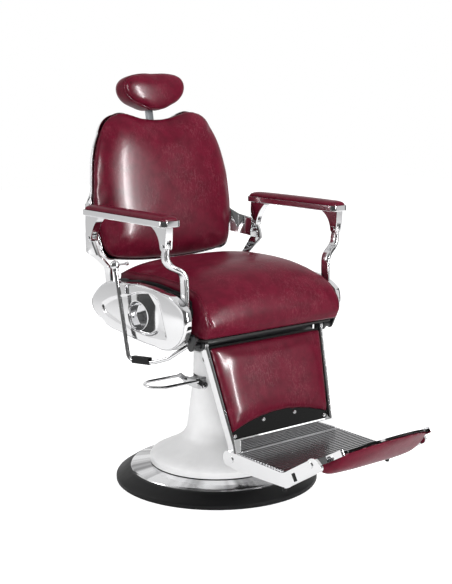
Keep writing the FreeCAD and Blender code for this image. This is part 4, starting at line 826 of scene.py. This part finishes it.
seatLook = {
    "rows": 64, "around": 120, "tuck": 0.006, "topEdge": 0.004, "bulge": 0.02, "crownPower": 2.5,
    # slices from the rear to the rolled front: y, half width, underside, seam and crown, in mm
    "slices": ((185, 245, 0, 136, 146), (179, 246, 0, 141, 157), (120, 252, 0, 157, 178),
               (0, 253, 0, 163, 186), (-120, 253, 0, 159, 184), (-205, 254, 0, 140, 167),
               (-247, 259, 0, 116, 144), (-276, 262, 6, 84, 114), (-292, 257, 22, 58, 82),
               (-298, 249, 33, 46, 60)),
    # the side gussets are sewn to the top sheet along this line, from the rear to the foot of the front roll
    "seam": ((0.242, 0.183, 0.658), (0.2485, 0.12, 0.6774), (0.249, 0.0, 0.6834), (0.2495, -0.12, 0.6794),
             (0.2495, -0.222, 0.6544), (0.257, -0.25, 0.6344), (0.26, -0.276, 0.6024),
             (0.254, -0.292, 0.5784), (0.246, -0.2965, 0.5664)),
    "seamPoints": 110}


def seatForm():
    look = seatLook
    rows, around, tuck = look["rows"], look["around"], look["tuck"]
    slices = smoothRows(look["slices"], rows)

    def place(row, turn):
        y, half, low, seam, crown = slices[min(max(row, 1), rows) - 1] / 1000
        if row in (0, rows + 1):
            return Vector((0, y, seatFloor + (low + crown) / 2))
        share = turn / around * 4
        side, t = int(share), share - int(share)
        if side == 0:  # underside
            x, z = (half - tuck) * (2 * t - 1), low
        elif side == 2:  # crowned top, from the sitter's left to the right
            x = (half - look["topEdge"]) * (1 - 2 * t)
            z = seam + (crown - seam) * (1 - abs(1 - 2 * t) ** look["crownPower"])
        else:
            up = t if side == 1 else 1 - t
            x = half - tuck + (tuck - look["topEdge"]) * up + look["bulge"] * up * (1 - up)
            x, z = (x if side == 1 else -x), low + (seam - low) * up
        return Vector((x, y, seatFloor + z))
    return wrapped(rows + 2, around, place)


# rings from the pad's rear to its front: each is a share of the outline's size, moved out by so many metres
backPad = {"middle": 0.235, "slice": 0.012, "around": 160, "bulge": 0.035, "crown": 0.015, "roundness": 4.4,
           "seam": -0.002, "seamPoints": 260,
           "rear": [(0, -0.016), (0.3, -0.016), (0.6, -0.016), (0.9, -0.016), (0.965, -0.0155),
                    (0.985, -0.011), (0.996, 0)],
           "front": (1.0, 0.998, 0.992, 0.98, 0.965, 0.945, 0.92, 0.88, 0.83, 0.76, 0.68, 0.58, 0.47, 0.35,
                     0.22, 0.1, 0)}
# above the arms the back gets narrower behind the cushion's widest line, and its top is lower
backTaper = {"from": 0.185, "over": 0.06, "rear": -0.005, "rimOver": 0.02, "rearOver": 0.045, "rimIn": 0.03,
             "rearIn": 0.055, "lowerFrom": 0.35, "lowerOver": 0.08, "lower": 0.006}
headPad = {"middle": 0.536, "behind": 0.003, "slice": 0.015, "around": 120, "passes": 14, "widest": 0.968,
           "front": (0.968, 0.965, 0.957, 0.94, 0.92, 0.89, 0.84, 0.76, 0.66, 0.54, 0.4, 0.25, 0.12, 0),
           "rear": [(0, -0.056), (0.4, -0.056), (0.68, -0.055), (0.78, -0.052), (0.86, -0.046),
                    (0.93, -0.036), (0.98, -0.02), (1.0, -0.002), (0.998, 0.012), (0.985, 0.024)],
           "base": 0.03, "bulge": 0.011, "crown": 0.011, "width": 0.96, "taper": 0.2, "taperFrom": 0.56,
           "taperOver": 0.075, "seam": 0.026, "seamPoints": 130, "valley": 0.004}
headMiddle = backFoot + backUp * headPad["middle"] - backOut * headPad["behind"]


def pillowForm(node, middle, rim, rows, around, passes=6):
    # rings of the outline, each drawn in to a share of its size and moved out along the pad's normal
    outline = evenOutline(node, middle + backOut * rim, backOut, around, passes)
    flat = outline - np.array(backOut) * rim
    centre = np.array(middle)

    def place(row, turn):
        share, out = rows[row]
        return Vector(centre + (flat[turn] - centre) * share + np.array(backOut) * out)
    return wrapped(len(rows), around, place)


def narrowed(bm):
    look = backTaper
    for vertex in bm.verts:
        high, out = (vertex.co - backFoot).dot(backUp), (vertex.co - backFoot).dot(backOut)
        upper = ease((high - look["from"]) / look["over"])
        rim = 1 - ease((out - look["rear"]) / look["rimOver"])
        rear = ease((look["rear"] - out) / look["rearOver"])
        lowered = ease((high - look["lowerFrom"]) / look["lowerOver"])
        vertex.co.x *= 1 - upper * (look["rimIn"] * rim + look["rearIn"] * rear)
        vertex.co -= backUp * ((look["lower"] * rim + look["lower"] * rear) * lowered)
    return bm


# the pressed shell, with faces small enough to follow the narrower form
shell = {"cuts": 4, "longest": 0.012, "smoothAngle": 42}


def backShell():
    bm = frameForm("back_shell")
    for _ in range(shell["cuts"]):
        long = [edge for edge in bm.edges if edge.calc_length() > shell["longest"]]
        bmesh.ops.subdivide_edges(bm, edges=long, cuts=1)
        bmesh.ops.triangulate(bm, faces=bm.faces[:])
    dress(newObject("backShell", narrowed(bm), "chrome", shell["smoothAngle"]), "back_shell")


def backForm():
    look = backPad
    front = [(share, look["slice"] + look["bulge"] * (1 - share ** look["roundness"]) ** 0.5
              + look["crown"] * (1 - share ** 2)) for share in look["front"]]
    middle = backFoot + backUp * look["middle"]
    return narrowed(pillowForm("back_cushion", middle, look["slice"], look["rear"] + front, look["around"]))


def headrestForm():
    look = headPad
    front = [(share, look["base"] + look["bulge"] * max(0.0, 1 - (share / look["widest"]) ** 10) ** 0.5
              + look["crown"] * (1 - share ** 2)) for share in look["front"]]
    bm = pillowForm("headrest_cushion", headMiddle, look["slice"], look["rear"] + front, look["around"],
                    look["passes"])
    for vertex in bm.verts:
        high = (vertex.co - backFoot).dot(backUp)
        low = min(1.0, max(0.0, (look["taperFrom"] - high) / look["taperOver"]))
        vertex.co.x *= look["width"] * (1 - look["taper"] * low * low)
    return bm


def baked(piece):
    # the piece's mesh with its modifiers applied
    view = bpy.context.evaluated_depsgraph_get()
    mesh = bpy.data.meshes.new_from_object(piece.evaluated_get(view))
    old = piece.data
    piece.modifiers.clear()
    piece.data = mesh
    bpy.data.meshes.remove(old)
    mesh.name = piece.name


def vertexArray(mesh, what):
    values = np.empty(len(mesh.vertices) * 3, dtype=np.float32)
    if what == "co":
        mesh.vertices.foreach_get("co", values)
    else:
        mesh.vertex_normals.foreach_get("vector", values)
    return values.reshape(-1, 3)


def stuffed(piece, look):
    # air pressure swells the cover between the places where it is held
    mesh = piece.data
    foot, up = Vector(look["foot"]), Vector(look["up"])
    held = piece.vertex_groups.new(name="held")
    start = vertexArray(mesh, "co")
    low = (start - np.array(foot)) @ np.array(up) < look["held"]
    held.add([int(index) for index in np.nonzero(low)[0]], 1.0, "ADD")
    cloth = piece.modifiers.new("filling", "CLOTH")
    cloth.settings.vertex_group_mass = "held"
    cloth.settings.use_pressure = True
    cloth.settings.uniform_pressure_force = filling["pressure"]
    cloth.settings.effector_weights.gravity = 0
    for step in range(1, filling["steps"] + 1):
        scene.frame_set(step)
    view = bpy.context.evaluated_depsgraph_get()
    move = vertexArray(piece.evaluated_get(view).to_mesh(), "co") - start
    edges = np.empty(len(mesh.edges) * 2, dtype=np.int32)
    mesh.edges.foreach_get("vertices", edges)
    left, right = edges.reshape(-1, 2).T
    links = np.bincount(edges, minlength=len(move))[:, None]
    for _ in range(look.get("calm", filling["calm"])):  # the creases at the held edge are eased
        around = np.zeros_like(move)
        np.add.at(around, left, move[right])
        np.add.at(around, right, move[left])
        move = 0.5 * move + 0.5 * around / links
    rise = (move @ np.array(up))[:, None]
    side = move - rise * np.array(up)
    length = np.maximum(np.linalg.norm(side, axis=1, keepdims=True), 1e-9)
    side *= look["sideCap"] * np.tanh(length / look["sideCap"]) / length
    usual, most = np.median(rise) * 1000, rise.max() * 1000
    print(piece.name, "swelled", round(float(usual), 1), "mm, at most", round(float(most), 1))
    move = look["cap"] * np.tanh(rise / look["cap"]) * np.array(up) + side
    piece.evaluated_get(view).to_mesh_clear()
    mesh.vertices.foreach_set("co", (start + move).ravel())
    piece.modifiers.clear()
    piece.vertex_groups.clear()
    scene.frame_set(1)


def cushion(node, form=None, cutter=None):
    look = padding[node]
    if form is None:
        form = frameForm(node, softWeld)
        bmesh.ops.recalc_face_normals(form, faces=form.faces)
    piece = newObject(camelName(node), form, slotOf[node], None)
    remesh = piece.modifiers.new("evenSkin", "REMESH")
    remesh.mode = "VOXEL"
    remesh.voxel_size = look["voxel"]
    remesh.use_smooth_shade = True
    baked(piece)
    height = (vertexArray(piece.data, "co") - np.array(look["foot"])) @ np.array(look["up"])
    free = piece.vertex_groups.new(name="free")
    for index, share in enumerate(height / look["held"] - filling["freeFrom"]):
        free.add([index], min(1.0, max(0.0, share)), "REPLACE")
    soft = piece.modifiers.new("rounding", "SMOOTH")
    soft.iterations = look["rounding"]
    soft.vertex_group = "free"
    baked(piece)
    # the cover starts a little smaller than it ends
    places, outward = vertexArray(piece.data, "co"), vertexArray(piece.data, "normal")
    loose = height > look["held"]
    places[loose] -= outward[loose] * look["draw"]
    piece.data.vertices.foreach_set("co", places.ravel())
    stuffed(piece, look)
    settle = piece.modifiers.new("settle", "SMOOTH")
    settle.iterations = filling["settle"]
    if cutter:
        channel = piece.modifiers.new("channel", "BOOLEAN")
        channel.object = cutter
    finer = piece.modifiers.new("finer", "SUBSURF")
    finer.levels = finer.render_levels = 1
    baked(piece)
    smoothed(piece.data)
    dress(piece, node)
    return piece


def seam(node, name, points, closed, valley=sewing["valley"]):
    # a sewn seam: the cover dips along it and a thin piping lies in the dip
    radius, depth = sewing["piping"], sewing["depth"]
    mesh = cushions[node].data
    tree = BVHTree.FromPolygons([v.co for v in mesh.vertices], [f.vertices for f in mesh.polygons])
    line = [tree.find_nearest(p)[:2] for p in points]
    near = KDTree(len(line))
    for index, (spot, _) in enumerate(line):
        near.insert(spot, index)
    near.balance()
    places, outward = vertexArray(mesh, "co"), vertexArray(mesh, "normal")
    for index, place in enumerate(places):
        _, along, distance = near.find(place)
        if distance < 3 * valley:
            pucker = 1 + sewing["pucker"] * math.sin(along * sewing["stitch"])
            places[index] -= outward[index] * depth * pucker * math.exp(-(distance / valley) ** 2)
    mesh.vertices.foreach_set("co", places.ravel())
    mesh.update()
    curve = bpy.data.curves.new(name, "CURVE")
    curve.dimensions = "3D"
    curve.bevel_depth = radius
    curve.bevel_resolution = 3
    curve.use_fill_caps = True
    curve.resolution_u = 2
    spline = curve.splines.new("NURBS")
    spline.points.add(len(line) - 1)
    for point, (spot, outward) in zip(spline.points, line):
        point.co = (*(spot - outward * (depth - 0.25 * radius)), 1)
    spline.use_cyclic_u = closed
    spline.order_u = 4
    spline.use_endpoint_u = not closed
    holder = bpy.data.objects.new(name, curve)
    scene.collection.objects.link(holder)
    mesh = bpy.data.meshes.new_from_object(holder.evaluated_get(bpy.context.evaluated_depsgraph_get()))
    bpy.data.objects.remove(holder)
    bpy.data.curves.remove(curve)
    piping = bpy.data.objects.new(name, mesh)
    scene.collection.objects.link(piping)
    mesh.materials.clear()
    mesh.materials.append(materials["leather_burgundy"])
    smoothed(mesh)
    dress(piping, slot="leather_burgundy", body=bodyOf[node])


# the room in the headrest cushion for its plate and stem
channel = {"size": (0.0412, 0.11, 0.18), "up": 0.466, "behind": 0.0487}
channelPlace = backFoot + backUp * channel["up"] - backOut * channel["behind"]
channelForm = boxForm(channel["size"], channelPlace, -backLean)
channelBlock = newObject("channelBlock", channelForm, "steel_black", None)
forms = {"seat_cushion": seatForm(), "back_cushion": backForm(), "headrest_cushion": headrestForm()}
cutters = {"headrest_cushion": channelBlock}
cushions = {node: cushion(node, forms.get(node), cutters.get(node)) for node in padding}
bpy.data.objects.remove(channelBlock)
print("cushions filled")

for side, word in ((-1, "Right"), (1, "Left")):
    line = evenly([(x * side, y, z) for x, y, z in seatLook["seam"]], seatLook["seamPoints"], False)
    seam("seat_cushion", "seatSeam" + word, line, False)
line = sliceLoop("back_cushion", backFoot + backOut * backPad["seam"], backOut, backPad["seamPoints"])
seam("back_cushion", "backSeam", line, True)
line = sliceLoop("headrest_cushion", headMiddle + backOut * headPad["seam"], backOut, headPad["seamPoints"])
seam("headrest_cushion", "headrestFrontSeam", line, True, headPad["valley"])
print("seams sewn")

bothSides("sidePanel", panelForm(), "chrome", 32, "side_panel")
bothSides("frontPost", postForm(), "chrome_cast", 40, "front_post")
bothSides("sideTrim", trimForm(), "steel_black", 30)
backShell()
ribbedPlate()
seatApron()
for node in sorted(nodes):
    if node not in done:
        refine(node)
print("metal parts dressed")

for piece in scene.objects:
    if piece.type == "MESH" and piece.data.materials[:1] == [materials["leather_burgundy"]]:
        bpy.data.collections["leatherShine"].objects.link(piece)
